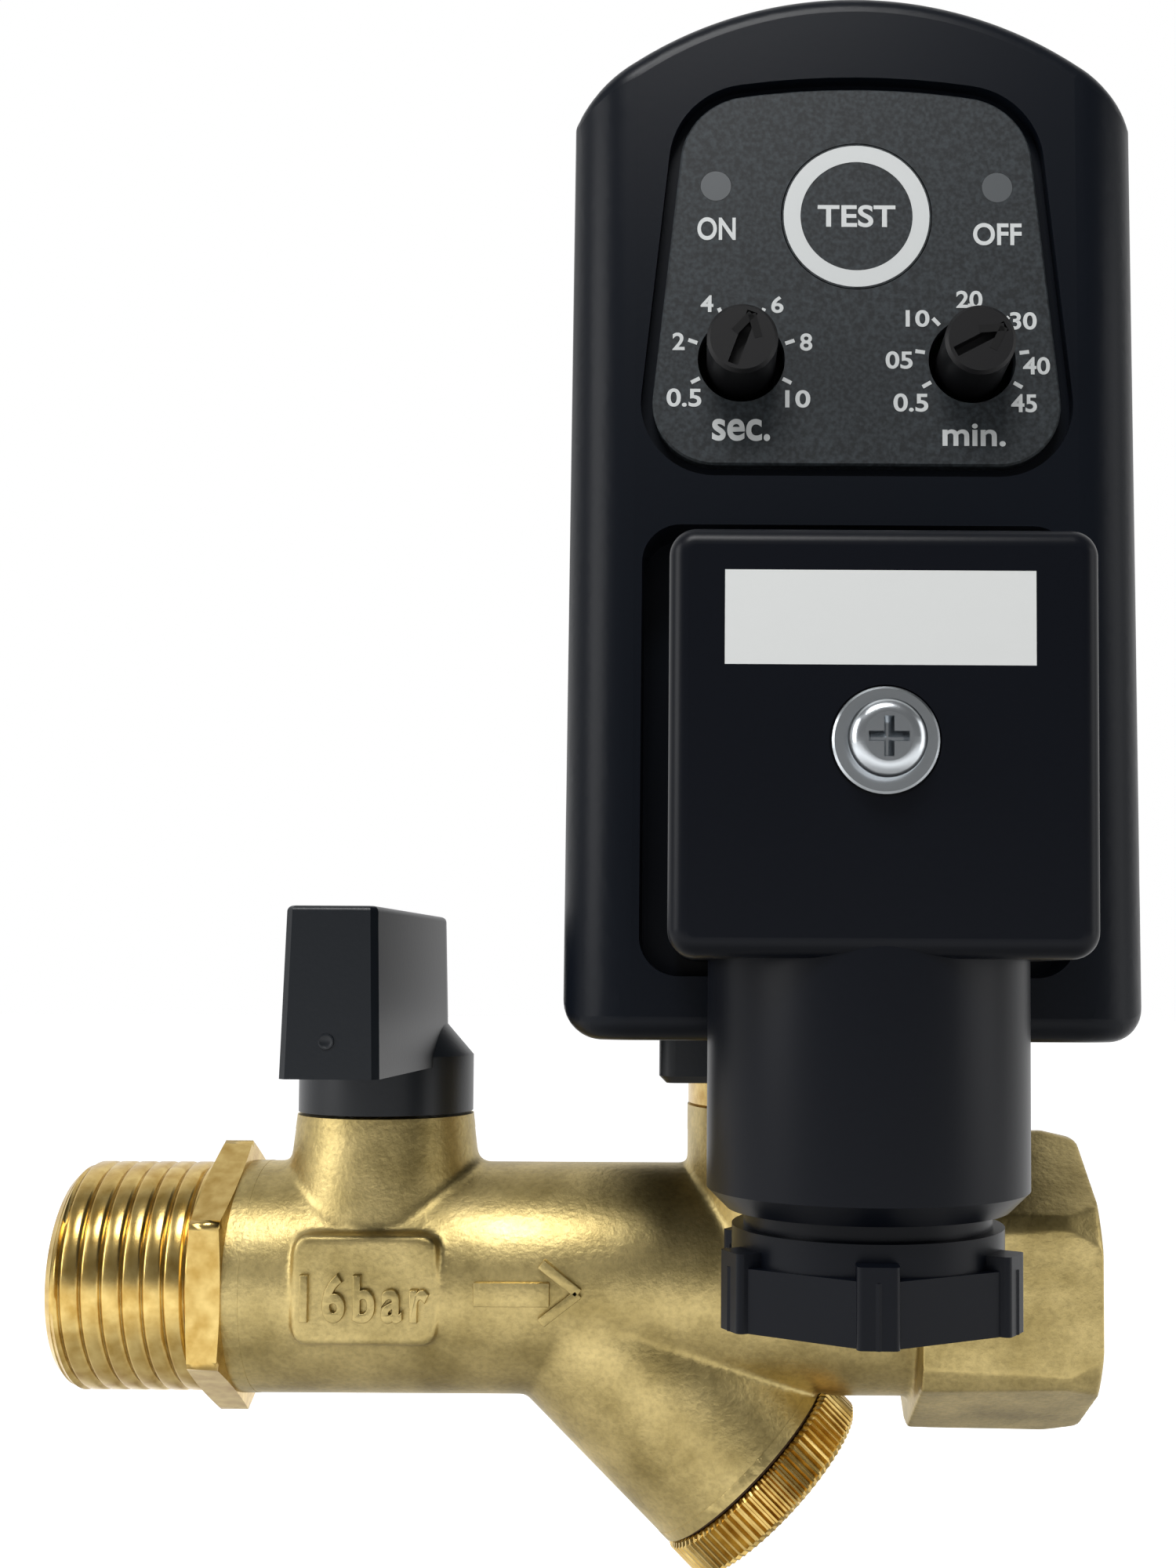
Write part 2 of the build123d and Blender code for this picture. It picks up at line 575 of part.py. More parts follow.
with BuildPart() as lever_handle:
    # Skirt and cone of the hub, turned about the stem.
    with BuildSketch(Plane.XZ):
        with BuildLine(Location((BALL_X, 0))):
            Polyline(
                (0, HANDLE_BOTTOM),
                (SKIRT_DIAMETER / 2, HANDLE_BOTTOM),
                (SKIRT_DIAMETER / 2, SKIRT_TOP),
                (HUB_DIAMETER / 2 - 0.3, HUB_CONE_TOP),
                (0, HUB_CONE_TOP),
                close=True,
            )
        make_face()
    revolve(axis=Axis((BALL_X, 0, 0), (0, 0, 1)))
    # Grip, one drafted wing whose sides run smoothly from the round hub to the tip.
    with BuildSketch(shifted(BALL_PLANE, LEVER_BOTTOM)):
        Circle(HUB_DIAMETER / 2)
        with Locations((0, LEVER_WIDTH / 4 - LEVER_REACH)):
            Rectangle(LEVER_WIDTH, LEVER_WIDTH / 2)
        make_hull()
    extrude(amount=LEVER_TOP - LEVER_BOTTOM, taper=LEVER_DRAFT)
    tip_edges = lever_handle.edges().filter_by(GeomType.LINE).filter_by(
        lambda edge: edge.center().Y < -LEVER_REACH / 2 and edge.length > LEVER_TOP - LEVER_BOTTOM - 1
        and abs((edge % 0.5).Z) > 0.9
    )
    chamfer(tip_edges, 0.5)
    fillet(lever_handle.faces().sort_by(Axis.Z)[-1].edges(), 0.5)
    # Hollow under the skirt, square hole on the stem and seat of the screw head.
    with BuildSketch(shifted(BALL_PLANE, HANDLE_BOTTOM)):
        Circle(SKIRT_DIAMETER / 2 - SKIRT_WALL)
    extrude(amount=(SKIRT_TOP - HANDLE_BOTTOM) * 0.6, mode=Mode.SUBTRACT)
    with BuildSketch(shifted(BALL_PLANE, HANDLE_BOTTOM)):
        Rectangle(STEM_SQUARE + 2 * PRESS_GAP, STEM_SQUARE + 2 * PRESS_GAP)
    extrude(amount=STEM_TOP + PRESS_GAP - HANDLE_BOTTOM, mode=Mode.SUBTRACT)
    with Locations(shifted(BALL_PLANE, LEVER_TOP)):
        CounterBoreHole(
            HANDLE_SCREW_DIAMETER / 2 + PRESS_GAP,
            HANDLE_SCREW_HEAD / 2 + 0.15,
            LEVER_TOP - STEM_TOP - 1.2,
            LEVER_TOP - STEM_TOP,
        )
save(lever_handle, "lever_handle")

with BuildPart() as handle_screw:
    with BuildSketch(shifted(BALL_PLANE, STEM_TOP + 1.2 + PRESS_GAP)):
        Circle(HANDLE_SCREW_HEAD / 2)
    extrude(amount=HANDLE_SCREW_HEAD_HEIGHT)
    fillet(handle_screw.edges().group_by(Axis.Z)[-1], 0.8)
    with BuildSketch(shifted(BALL_PLANE, STEM_TOP + 1.2 + PRESS_GAP)):
        Circle(HANDLE_SCREW_DIAMETER / 2)
    extrude(amount=-(HANDLE_SCREW_LENGTH - 1.0))
    with BuildSketch(shifted(BALL_PLANE, STEM_TOP + 1.2 + HANDLE_SCREW_HEAD_HEIGHT)):
        Rectangle(HANDLE_SCREW_HEAD * 0.55, 0.7)
        Rectangle(0.7, HANDLE_SCREW_HEAD * 0.55)
    extrude(amount=-1.1, mode=Mode.SUBTRACT)
save(handle_screw, "handle_screw")

# ---------------------------------------------------------------------------
# Strainer
# ---------------------------------------------------------------------------

with BuildPart() as strainer_cap:
    with BuildSketch(shifted(BRANCH_PLANE, CAP_FACE)):
        Circle(CAP_DIAMETER / 2)
    extrude(amount=CAP_HEAD)
    chamfer(strainer_cap.edges(), 0.45)
    with BuildSketch(shifted(BRANCH_PLANE, CAP_FACE)):
        Circle(CAP_THREAD_DIAMETER / 2 - RUNNING_GAP)
    extrude(amount=-(CAP_THREAD_DEPTH - 0.6))
    with BuildSketch(shifted(BRANCH_PLANE, CAP_FACE + CAP_HEAD - 1.6)):
        Circle(SCREEN_DIAMETER / 2 + PRESS_GAP)
    extrude(amount=-(CAP_THREAD_DEPTH + CAP_HEAD), mode=Mode.SUBTRACT)
save(strainer_cap, "strainer_cap")

with BuildPart() as strainer_cap_seal:
    with BuildSketch(shifted(BRANCH_PLANE, BRANCH_LENGTH + PRESS_GAP)):
        Circle(CAP_DIAMETER / 2 - 0.7)
        Circle(CAP_THREAD_DIAMETER / 2, mode=Mode.SUBTRACT)
    extrude(amount=CAP_SEAL_THICKNESS - 2 * PRESS_GAP)
save(strainer_cap_seal, "strainer_cap_seal")

with BuildPart() as strainer_screen:
    # A tube of fine perforated sheet, plugged into the cap.
    with BuildSketch(shifted(BRANCH_PLANE, SCREEN_START)):
        Circle(SCREEN_DIAMETER / 2)
        Circle(SCREEN_DIAMETER / 2 - SCREEN_WALL, mode=Mode.SUBTRACT)
    extrude(amount=CAP_FACE + CAP_HEAD - 1.6 - PRESS_GAP - SCREEN_START)
save(strainer_screen, "strainer_screen")

# ---------------------------------------------------------------------------
# Solenoid
# ---------------------------------------------------------------------------

with BuildPart() as armature_tube:
    with BuildSketch(shifted(SOLENOID_PLANE, BOSS_TOP)):
        Circle(BOSS_DIAMETER / 2 - 0.05)
    extrude(amount=FLANGE_THICKNESS)
    chamfer(armature_tube.edges(), 0.25)
    with BuildSketch(shifted(SOLENOID_PLANE, BOSS_TOP)):
        Circle(CHAMBER_DIAMETER / 2 - PRESS_GAP)
    extrude(amount=-TUBE_SPIGOT_LENGTH)
    with BuildSketch(shifted(SOLENOID_PLANE, FLANGE_TOP)):
        Circle(TUBE_DIAMETER / 2)
    extrude(amount=TUBE_TOP - FLANGE_TOP)
    with BuildSketch(shifted(SOLENOID_PLANE, BOSS_TOP - TUBE_SPIGOT_LENGTH)):
        Circle(TUBE_BORE / 2)
    extrude(amount=TUBE_TOP - BOSS_TOP + TUBE_SPIGOT_LENGTH - 1.5, mode=Mode.SUBTRACT)
save(armature_tube, "armature_tube")

with BuildPart() as tube_ring:
    with BuildSketch(shifted(SOLENOID_PLANE, BOSS_TOP - TUBE_SPIGOT_LENGTH - PRESS_GAP)):
        Circle(CHAMBER_DIAMETER / 2 - PRESS_GAP)
        Circle(CHAMBER_DIAMETER / 2 - TUBE_RING_SECTION, mode=Mode.SUBTRACT)
    extrude(amount=-TUBE_RING_SECTION)
    fillet(tube_ring.edges(), TUBE_RING_SECTION * 0.35)
save(tube_ring, "tube_ring")

with BuildPart() as fixed_core:
    with BuildSketch(shifted(SOLENOID_PLANE, CORE_BOTTOM)):
        Circle(TUBE_BORE / 2 - PRESS_GAP)
    extrude(amount=TUBE_TOP - 1.5 - PRESS_GAP - CORE_BOTTOM)
    with BuildSketch(shifted(SOLENOID_PLANE, CORE_BOTTOM)):
        Circle(SHADING_RING_DIAMETER / 2 + PRESS_GAP)
        Circle(SHADING_RING_DIAMETER / 2 - SHADING_RING_SECTION - PRESS_GAP, mode=Mode.SUBTRACT)
    extrude(amount=SHADING_RING_SECTION + PRESS_GAP, mode=Mode.SUBTRACT)
save(fixed_core, "fixed_core")

with BuildPart() as shading_ring:
    with BuildSketch(shifted(SOLENOID_PLANE, CORE_BOTTOM)):
        Circle(SHADING_RING_DIAMETER / 2)
        Circle(SHADING_RING_DIAMETER / 2 - SHADING_RING_SECTION, mode=Mode.SUBTRACT)
    extrude(amount=SHADING_RING_SECTION)
save(shading_ring, "shading_ring")

with BuildPart() as plunger:
    with BuildSketch(shifted(SOLENOID_PLANE, SEAT_TOP + PRESS_GAP)):
        Circle(TUBE_BORE / 2 - RUNNING_GAP)
    extrude(amount=PLUNGER_LENGTH - PRESS_GAP)
    chamfer(plunger.edges(), 0.3)
    # Seal pocket below, spring pocket above, and two grooves that let air pass.
    with BuildSketch(shifted(SOLENOID_PLANE, SEAT_TOP)):
        Circle(PLUNGER_SEAL_DIAMETER / 2 + PRESS_GAP)
    extrude(amount=PLUNGER_SEAL_THICKNESS + PRESS_GAP, mode=Mode.SUBTRACT)
    with BuildSketch(shifted(SOLENOID_PLANE, PLUNGER_TOP)):
        Circle(SPRING_POCKET_DIAMETER / 2)
    extrude(amount=-SPRING_POCKET_DEPTH, mode=Mode.SUBTRACT)
    with BuildSketch(shifted(SOLENOID_PLANE, SEAT_TOP)):
        with PolarLocations(TUBE_BORE / 2, 2):
            Rectangle(PLUNGER_GROOVE, PLUNGER_GROOVE)
    extrude(amount=PLUNGER_LENGTH, mode=Mode.SUBTRACT)
save(plunger, "plunger")

with BuildPart() as plunger_seal:
    with BuildSketch(shifted(SOLENOID_PLANE, SEAT_TOP + PRESS_GAP)):
        Circle(PLUNGER_SEAL_DIAMETER / 2)
    extrude(amount=PLUNGER_SEAL_THICKNESS - PRESS_GAP)
save(plunger_seal, "plunger_seal")

SPRING_BOTTOM = PLUNGER_TOP - SPRING_POCKET_DEPTH + SPRING_WIRE / 2 + PRESS_GAP
SPRING_HEIGHT = CORE_BOTTOM - PRESS_GAP - SPRING_WIRE / 2 - SPRING_BOTTOM
with BuildPart() as plunger_spring:
    with BuildLine(shifted(SOLENOID_PLANE, SPRING_BOTTOM)):
        coil_path = Helix(SPRING_HEIGHT / SPRING_TURNS, SPRING_HEIGHT, SPRING_DIAMETER / 2)
    with BuildSketch(Plane(origin=coil_path @ 0, z_dir=coil_path % 0)):
        Circle(SPRING_WIRE / 2)
    sweep(is_frenet=True)
save(plunger_spring, "plunger_spring")

# ---------------------------------------------------------------------------
# Coil
# ---------------------------------------------------------------------------

with BuildPart() as coil_moulding:
    # Black plastic block moulded round the bobbin and its iron frame.
    with BuildSketch(shifted(SOLENOID_PLANE, COIL_BOTTOM)):
        RectangleRounded(COIL_WIDTH, COIL_WIDTH, COIL_CORNER)
    extrude(amount=COIL_TOP - COIL_BOTTOM)
    chamfer(coil_moulding.edges().group_by(Axis.Z)[0], 0.6)
    with BuildSketch(shifted(SOLENOID_PLANE, COIL_BOTTOM + COIL_WALL)):
        Rectangle(COIL_WIDTH - 2 * COIL_WALL, COIL_WIDTH - 2 * COIL_WALL)
    extrude(amount=COIL_TOP - COIL_BOTTOM - 2 * COIL_WALL, mode=Mode.SUBTRACT)
    with BuildSketch(shifted(SOLENOID_PLANE, COIL_BOTTOM)):
        Circle(TUBE_DIAMETER / 2 + MOULD_GAP)
    extrude(amount=COIL_TOP - COIL_BOTTOM, mode=Mode.SUBTRACT)
save(coil_moulding, "coil_moulding")

with BuildPart() as coil_yoke:
    # Iron strip bent to a U: a plate under and over the bobbin, a back between them.
    with BuildSketch(Plane.YZ.offset(SOLENOID_X)):
        with BuildLine():
            Polyline(
                (-BOBBIN_DIAMETER / 2, YOKE_BOTTOM),
                (COIL_WIDTH / 2 - COIL_WALL - PRESS_GAP, YOKE_BOTTOM),
                (COIL_WIDTH / 2 - COIL_WALL - PRESS_GAP, YOKE_TOP),
                (-BOBBIN_DIAMETER / 2, YOKE_TOP),
                (-BOBBIN_DIAMETER / 2, YOKE_TOP - YOKE_THICKNESS),
                (COIL_WIDTH / 2 - COIL_WALL - YOKE_THICKNESS * 0.4, YOKE_TOP - YOKE_THICKNESS),
                (COIL_WIDTH / 2 - COIL_WALL - YOKE_THICKNESS * 0.4, YOKE_BOTTOM + YOKE_THICKNESS),
                (-BOBBIN_DIAMETER / 2, YOKE_BOTTOM + YOKE_THICKNESS),
                close=True,
            )
        make_face()
    extrude(amount=YOKE_WIDTH / 2, both=True)
    with BuildSketch(shifted(SOLENOID_PLANE, YOKE_BOTTOM)):
        Circle(TUBE_DIAMETER / 2 + MOULD_GAP)
    extrude(amount=YOKE_TOP - YOKE_BOTTOM, mode=Mode.SUBTRACT)
save(coil_yoke, "coil_yoke")

with BuildPart() as coil_bobbin:
    with BuildSketch(shifted(SOLENOID_PLANE, BOBBIN_BOTTOM)):
        Circle(BOBBIN_DIAMETER / 2)
    extrude(amount=BOBBIN_TOP - BOBBIN_BOTTOM)
    with BuildSketch(shifted(SOLENOID_PLANE, BOBBIN_BOTTOM + BOBBIN_FLANGE)):
        Circle(BOBBIN_DIAMETER / 2)
        Circle(TUBE_DIAMETER / 2 + MOULD_GAP + BOBBIN_WALL, mode=Mode.SUBTRACT)
    extrude(amount=BOBBIN_TOP - BOBBIN_BOTTOM - 2 * BOBBIN_FLANGE, mode=Mode.SUBTRACT)
    with BuildSketch(shifted(SOLENOID_PLANE, BOBBIN_BOTTOM)):
        Circle(TUBE_DIAMETER / 2 + MOULD_GAP)
    extrude(amount=BOBBIN_TOP - BOBBIN_BOTTOM, mode=Mode.SUBTRACT)
save(coil_bobbin, "coil_bobbin")

with BuildPart() as coil_winding:
    with BuildSketch(shifted(SOLENOID_PLANE, BOBBIN_BOTTOM + BOBBIN_FLANGE + PRESS_GAP)):
        Circle(WINDING_DIAMETER / 2)
        Circle(TUBE_DIAMETER / 2 + MOULD_GAP + BOBBIN_WALL + PRESS_GAP, mode=Mode.SUBTRACT)
    extrude(amount=BOBBIN_TOP - BOBBIN_BOTTOM - 2 * BOBBIN_FLANGE - 2 * PRESS_GAP)
save(coil_winding, "coil_winding")

with BuildPart() as coil_nut:
    with BuildSketch(shifted(SOLENOID_PLANE, COIL_TOP)):
        RegularPolygon(COIL_NUT_AF / 2, 6, major_radius=False)
        Circle(TUBE_DIAMETER / 2 + PRESS_GAP, mode=Mode.SUBTRACT)
    extrude(amount=COIL_NUT_HEIGHT)
save(coil_nut, "coil_nut")

# ---------------------------------------------------------------------------
# Timer case
# ---------------------------------------------------------------------------


def case_outline(inset, plane):
    """Front view of the case: tapered sides under an arched top."""
    with BuildSketch(plane) as outline:
        with BuildLine(Location((SOLENOID_X, 0))):
            Polyline(
                (-CASE_TOP_WIDTH / 2, CASE_SPRINGING),
                (-CASE_BOTTOM_WIDTH / 2, CASE_BOTTOM),
                (CASE_BOTTOM_WIDTH / 2, CASE_BOTTOM),
                (CASE_TOP_WIDTH / 2, CASE_SPRINGING),
            )
            ThreePointArc(
                (CASE_TOP_WIDTH / 2, CASE_SPRINGING),
                (0, CASE_APEX),
                (-CASE_TOP_WIDTH / 2, CASE_SPRINGING),
            )
        make_face()
        fillet(outline.vertices().group_by(Axis.Y)[0], CASE_CORNER)
        fillet(outline.vertices().group_by(Axis.Y)[-1], CASE_TOP_CORNER)
        if inset:
            offset(amount=-inset)
    return outline.sketch


def case_plan(inset):
    """Top view of the case with its rounded upright front edges, drawn just below it."""
    start = Plane(origin=(0, -CASE_WALL * tan(LEAN), CASE_BOTTOM - CASE_WALL))
    with BuildSketch(start) as plan:
        with Locations((SOLENOID_X, 0)):
            RectangleRounded(
                CASE_BOTTOM_WIDTH - 2 * inset, 2 * (CASE_FRONT - inset), CASE_EDGE - inset
            )
        with Locations((SOLENOID_X, CASE_REAR / 2)):
            Rectangle(CASE_BOTTOM_WIDTH - 2 * inset, CASE_REAR)
        with Locations((SOLENOID_X, CASE_REAR + CASE_FRONT)):
            Rectangle(2 * CASE_BOTTOM_WIDTH, 2 * CASE_FRONT, mode=Mode.SUBTRACT)
    return plan.sketch


def panel_outline(inset, depth):
    """Outline of the panel seat on the leaning face, drawn a given depth below it."""
    with BuildSketch(shifted(FACE_PLANE, -depth)) as outline:
        with BuildLine():
            Polyline(
                (-PANEL_TOP_WIDTH / 2, PANEL_SHOULDER),
                (-PANEL_BOTTOM_WIDTH / 2, PANEL_BOTTOM),
                (PANEL_BOTTOM_WIDTH / 2, PANEL_BOTTOM),
                (PANEL_TOP_WIDTH / 2, PANEL_SHOULDER),
            )
            ThreePointArc(
                (PANEL_TOP_WIDTH / 2, PANEL_SHOULDER),
                (0, PANEL_APEX),
                (-PANEL_TOP_WIDTH / 2, PANEL_SHOULDER),
            )
        make_face()
        fillet(outline.vertices().group_by(Axis.Y)[0], PANEL_BOTTOM_CORNER)
        fillet(outline.vertices().group_by(Axis.Y)[-1], PANEL_TOP_CORNER)
        if inset:
            offset(amount=-inset)
    return outline.sketch


with BuildPart() as case_hollow:
    extrude(case_outline(CASE_WALL, Plane.XZ.offset(-CASE_REAR)), CASE_REAR + CASE_FRONT)
    extrude(
        case_plan(CASE_WALL), 2 * CASE_APEX, dir=(0, sin(LEAN), cos(LEAN)), mode=Mode.INTERSECT
    )

with BuildPart() as timer_case:
    extrude(
        case_outline(0, Plane.XZ.offset(REAR_COVER_THICKNESS - CASE_REAR)),
        CASE_REAR - REAR_COVER_THICKNESS + CASE_FRONT,
    )
    extrude(case_plan(0), 2 * CASE_APEX, dir=(0, sin(LEAN), cos(LEAN)), mode=Mode.INTERSECT)
    rim = timer_case.edges().filter_by(
        lambda edge: edge.center().Y < CASE_EDGE - CASE_FRONT
        and abs((edge % 0.5).Z) < 0.8
        and (edge.center().Z > CASE_SPRINGING - CASE_RIM or edge.center().Z < CASE_BOTTOM + CASE_CORNER)
    )
    fillet(rim, CASE_RIM)
    add(case_hollow.part, mode=Mode.SUBTRACT)
    # Walls round the connector pocket, then the pocket itself.
    with BuildSketch(shifted(CONNECTOR_PLANE, POCKET_FLOOR - POCKET_WALL)):
        with Locations((0, (POCKET_TOP + POCKET_BOTTOM) / 2 - CONNECTOR_Z)):
            RectangleRounded(
                POCKET_WIDTH + 2 * POCKET_WALL,
                POCKET_TOP - POCKET_BOTTOM + 2 * POCKET_WALL,
                POCKET_CORNER + POCKET_WALL,
            )
    extrude(amount=CASE_FRONT - 0.8 * CASE_WALL - POCKET_FLOOR + POCKET_WALL)
    with BuildSketch(shifted(GLAND_PLANE, CASE_BOTTOM + CASE_RIM)):
        Circle(GLAND_DIAMETER / 2 + 2 * LOOSE_GAP + POCKET_WALL)
        with Locations((0, GLAND_FORWARD - CASE_FRONT + CASE_WALL / 2 - GLAND_DIAMETER)):
            Rectangle(2 * GLAND_DIAMETER, 2 * GLAND_DIAMETER, mode=Mode.SUBTRACT)
    extrude(amount=POCKET_BOTTOM - CASE_BOTTOM - CASE_RIM)
    with BuildSketch(shifted(CONNECTOR_PLANE, POCKET_FLOOR)):
        with Locations((0, (POCKET_TOP + POCKET_BOTTOM) / 2 - CONNECTOR_Z)):
            RectangleRounded(POCKET_WIDTH, POCKET_TOP - POCKET_BOTTOM, POCKET_CORNER)
    extrude(amount=CASE_FRONT, mode=Mode.SUBTRACT)
    with BuildSketch(CONNECTOR_PLANE):
        Rectangle(TERMINAL_BASE_SIDE + 2 * MOULD_GAP, TERMINAL_BASE_SIDE + 2 * MOULD_GAP)
    extrude(amount=CASE_FRONT, mode=Mode.SUBTRACT)
    # Relief for the neck of the cable gland.
    with BuildSketch(shifted(GLAND_PLANE, CASE_BOTTOM - CASE_WALL)):
        Circle(GLAND_DIAMETER / 2 + 2 * LOOSE_GAP)
    extrude(amount=POCKET_BOTTOM + POCKET_CORNER - CASE_BOTTOM + CASE_WALL, mode=Mode.SUBTRACT)
    # Opening that the coil block stands in.
    with BuildSketch(shifted(SOLENOID_PLANE, CASE_BOTTOM - CASE_WALL)):
        RectangleRounded(COIL_WIDTH + 2 * MOULD_GAP, COIL_WIDTH + 2 * MOULD_GAP, COIL_CORNER)
    extrude(amount=2 * CASE_WALL + PRESS_GAP, mode=Mode.SUBTRACT)
    # Seat of the control panel and the holes behind it.
    extrude(panel_outline(0, 0), -PANEL_SEAT_DEPTH, mode=Mode.SUBTRACT)
    with BuildSketch(shifted(FACE_PLANE, -2 * CASE_WALL)):
        with Locations((0, DIAL_HEIGHT)):
            with GridLocations(DIAL_SPACING, 1, 2, 1):
                Circle(KNOB_HOLE / 2)
        with Locations((0, LED_HEIGHT)):
            with GridLocations(LED_SPACING, 1, 2, 1):
                Circle(LED_DIAMETER / 2 + MOULD_GAP)
        with Locations((0, BUTTON_HEIGHT)):
            Circle(BUTTON_DIAMETER / 2 + RUNNING_GAP)
    extrude(amount=3 * CASE_WALL, mode=Mode.SUBTRACT)
save(timer_case, "timer_case")

with BuildPart() as rear_cover:
    extrude(case_outline(0, Plane.XZ.offset(-CASE_REAR)), REAR_COVER_THICKNESS)
    fillet(rear_cover.faces().sort_by(Axis.Y)[-1].edges(), REAR_COVER_STEP)
    extrude(
        case_outline(CASE_WALL + MOULD_GAP, Plane.XZ.offset(-CASE_REAR)),
        REAR_COVER_THICKNESS + REAR_COVER_LIP,
    )
    extrude(
        case_outline(2 * CASE_WALL, Plane.XZ.offset(REAR_COVER_THICKNESS - CASE_REAR)),
        REAR_COVER_LIP,
        mode=Mode.SUBTRACT,
    )
save(rear_cover, "rear_cover")

with BuildPart() as control_panel:
    extrude(panel_outline(PANEL_GROOVE, PANEL_SEAT_DEPTH), PANEL_THICKNESS)
    chamfer(control_panel.faces().sort_by(Axis.Y)[0].edges(), 0.15)
    with BuildSketch(shifted(FACE_PLANE, -2 * CASE_WALL)):
        with Locations((0, DIAL_HEIGHT)):
            with GridLocations(DIAL_SPACING, 1, 2, 1):
                Circle(KNOB_HOLE / 2)
        with Locations((0, LED_HEIGHT)):
            with GridLocations(LED_SPACING, 1, 2, 1):
                Circle(LED_DIAMETER / 2 + PRESS_GAP)
        with Locations((0, BUTTON_HEIGHT)):
            Circle(BUTTON_DIAMETER / 2 + RUNNING_GAP)
    extrude(amount=3 * CASE_WALL, mode=Mode.SUBTRACT)
save(control_panel, "control_panel")

PANEL_FACE = PANEL_SEAT_DEPTH - PANEL_THICKNESS    # panel surface below the case face
BUTTON_FLANGE_TOP = -CASE_WALL - PRESS_GAP
SWITCH_TOP = SWITCH_HEIGHT - BOARD_DEPTH

with BuildPart() as test_button:
    with BuildSketch(shifted(FACE_PLANE, -PANEL_FACE)):
        with Locations((0, BUTTON_HEIGHT)):
            Circle(BUTTON_DIAMETER / 2)
    extrude(amount=BUTTON_FLANGE_TOP + PANEL_FACE)
    with BuildSketch(shifted(FACE_PLANE, BUTTON_FLANGE_TOP)):
        with Locations((0, BUTTON_HEIGHT)):
            Circle(BUTTON_DIAMETER / 2 + BUTTON_FLANGE)
    extrude(amount=-BUTTON_FLANGE_THICKNESS)
    with BuildSketch(shifted(FACE_PLANE, BUTTON_FLANGE_TOP - BUTTON_FLANGE_THICKNESS)):
        with Locations((0, BUTTON_HEIGHT)):
            Circle(BUTTON_STEM_DIAMETER / 2)
    extrude(amount=SWITCH_TOP + BUTTON_TRAVEL + RUNNING_GAP - BUTTON_FLANGE_TOP + BUTTON_FLANGE_THICKNESS)
save(test_button, "test_button")

for label, side in (("on_led", -1), ("off_led", 1)):
    with BuildPart() as led:
        with BuildSketch(shifted(FACE_PLANE, -PANEL_FACE)):
            with Locations((side * LED_SPACING / 2, LED_HEIGHT)):
                Circle(LED_DIAMETER / 2)
        extrude(amount=PANEL_FACE - BOARD_DEPTH + PRESS_GAP)
        with BuildSketch(shifted(FACE_PLANE, PRESS_GAP - BOARD_DEPTH)):
            with Locations((side * LED_SPACING / 2, LED_HEIGHT)):
                Circle(LED_DIAMETER / 2 + LED_FLANGE)
        extrude(amount=2 * LED_FLANGE)
    save(led, label)

TRIMMER_TOP = TRIMMER_HEIGHT - BOARD_DEPTH
for label, side in (("on_time_knob", -1), ("off_time_knob", 1)):
    with BuildPart() as knob:
        with BuildSketch(shifted(FACE_PLANE, TRIMMER_TOP + RUNNING_GAP)):
            with Locations((side * DIAL_SPACING / 2, DIAL_HEIGHT)):
                Circle(KNOB_DIAMETER / 2)
        extrude(amount=KNOB_PROUD - PANEL_FACE - TRIMMER_TOP - RUNNING_GAP)
        chamfer(knob.faces().sort_by(Axis.Y)[0].edges(), 0.25)
        with BuildSketch(shifted(FACE_PLANE, KNOB_PROUD - PANEL_FACE)):
            with Locations((side * DIAL_SPACING / 2, DIAL_HEIGHT)):
                Rectangle(KNOB_SLOT_WIDTH, KNOB_DIAMETER * 0.8, rotation=-POINTERS[max(side, 0)])
        extrude(amount=-KNOB_SLOT_DEPTH, mode=Mode.SUBTRACT)
        with BuildSketch(shifted(FACE_PLANE, TRIMMER_TOP + RUNNING_GAP)):
            with Locations((side * DIAL_SPACING / 2, DIAL_HEIGHT)):
                Circle(KNOB_SHAFT_DIAMETER / 2)
        extrude(amount=-KNOB_SHAFT_DIAMETER)
    save(knob, label)

with BuildPart() as circuit_board:
    with BuildSketch(shifted(FACE_PLANE, -BOARD_DEPTH)):
        with Locations((0, BOARD_BOTTOM + BOARD_HEIGHT / 2)):
            RectangleRounded(BOARD_WIDTH, BOARD_HEIGHT, 2.0)
    extrude(amount=-BOARD_THICKNESS)
save(circuit_board, "circuit_board")

with BuildPart() as trimmer_bodies:
    with BuildSketch(shifted(FACE_PLANE, PRESS_GAP - BOARD_DEPTH)):
        with Locations((0, DIAL_HEIGHT)):
            with GridLocations(DIAL_SPACING, 1, 2, 1):
                Rectangle(TRIMMER_SIDE, TRIMMER_SIDE)
    extrude(amount=TRIMMER_HEIGHT - PRESS_GAP)
    with BuildSketch(shifted(FACE_PLANE, TRIMMER_TOP)):
        with Locations((0, DIAL_HEIGHT)):
            with GridLocations(DIAL_SPACING, 1, 2, 1):
                Circle(KNOB_SHAFT_DIAMETER / 2 + RUNNING_GAP)
    extrude(amount=-KNOB_SHAFT_DIAMETER - RUNNING_GAP, mode=Mode.SUBTRACT)
save(trimmer_bodies, "trimmer_bodies")

with BuildPart() as tact_switch:
    with BuildSketch(shifted(FACE_PLANE, PRESS_GAP - BOARD_DEPTH)):
        with Locations((0, BUTTON_HEIGHT)):
            Rectangle(SWITCH_SIDE, SWITCH_SIDE)
    extrude(amount=SWITCH_HEIGHT - PRESS_GAP)
save(tact_switch, "tact_switch")

# ---------------------------------------------------------------------------
# Terminals and cable connector
# ---------------------------------------------------------------------------

BLADE_PLACES = (
    (-BLADE_PITCH / 2, 0, 0),
    (BLADE_PITCH / 2, 0, 0),
    (0, -EARTH_OFFSET, 90),
)


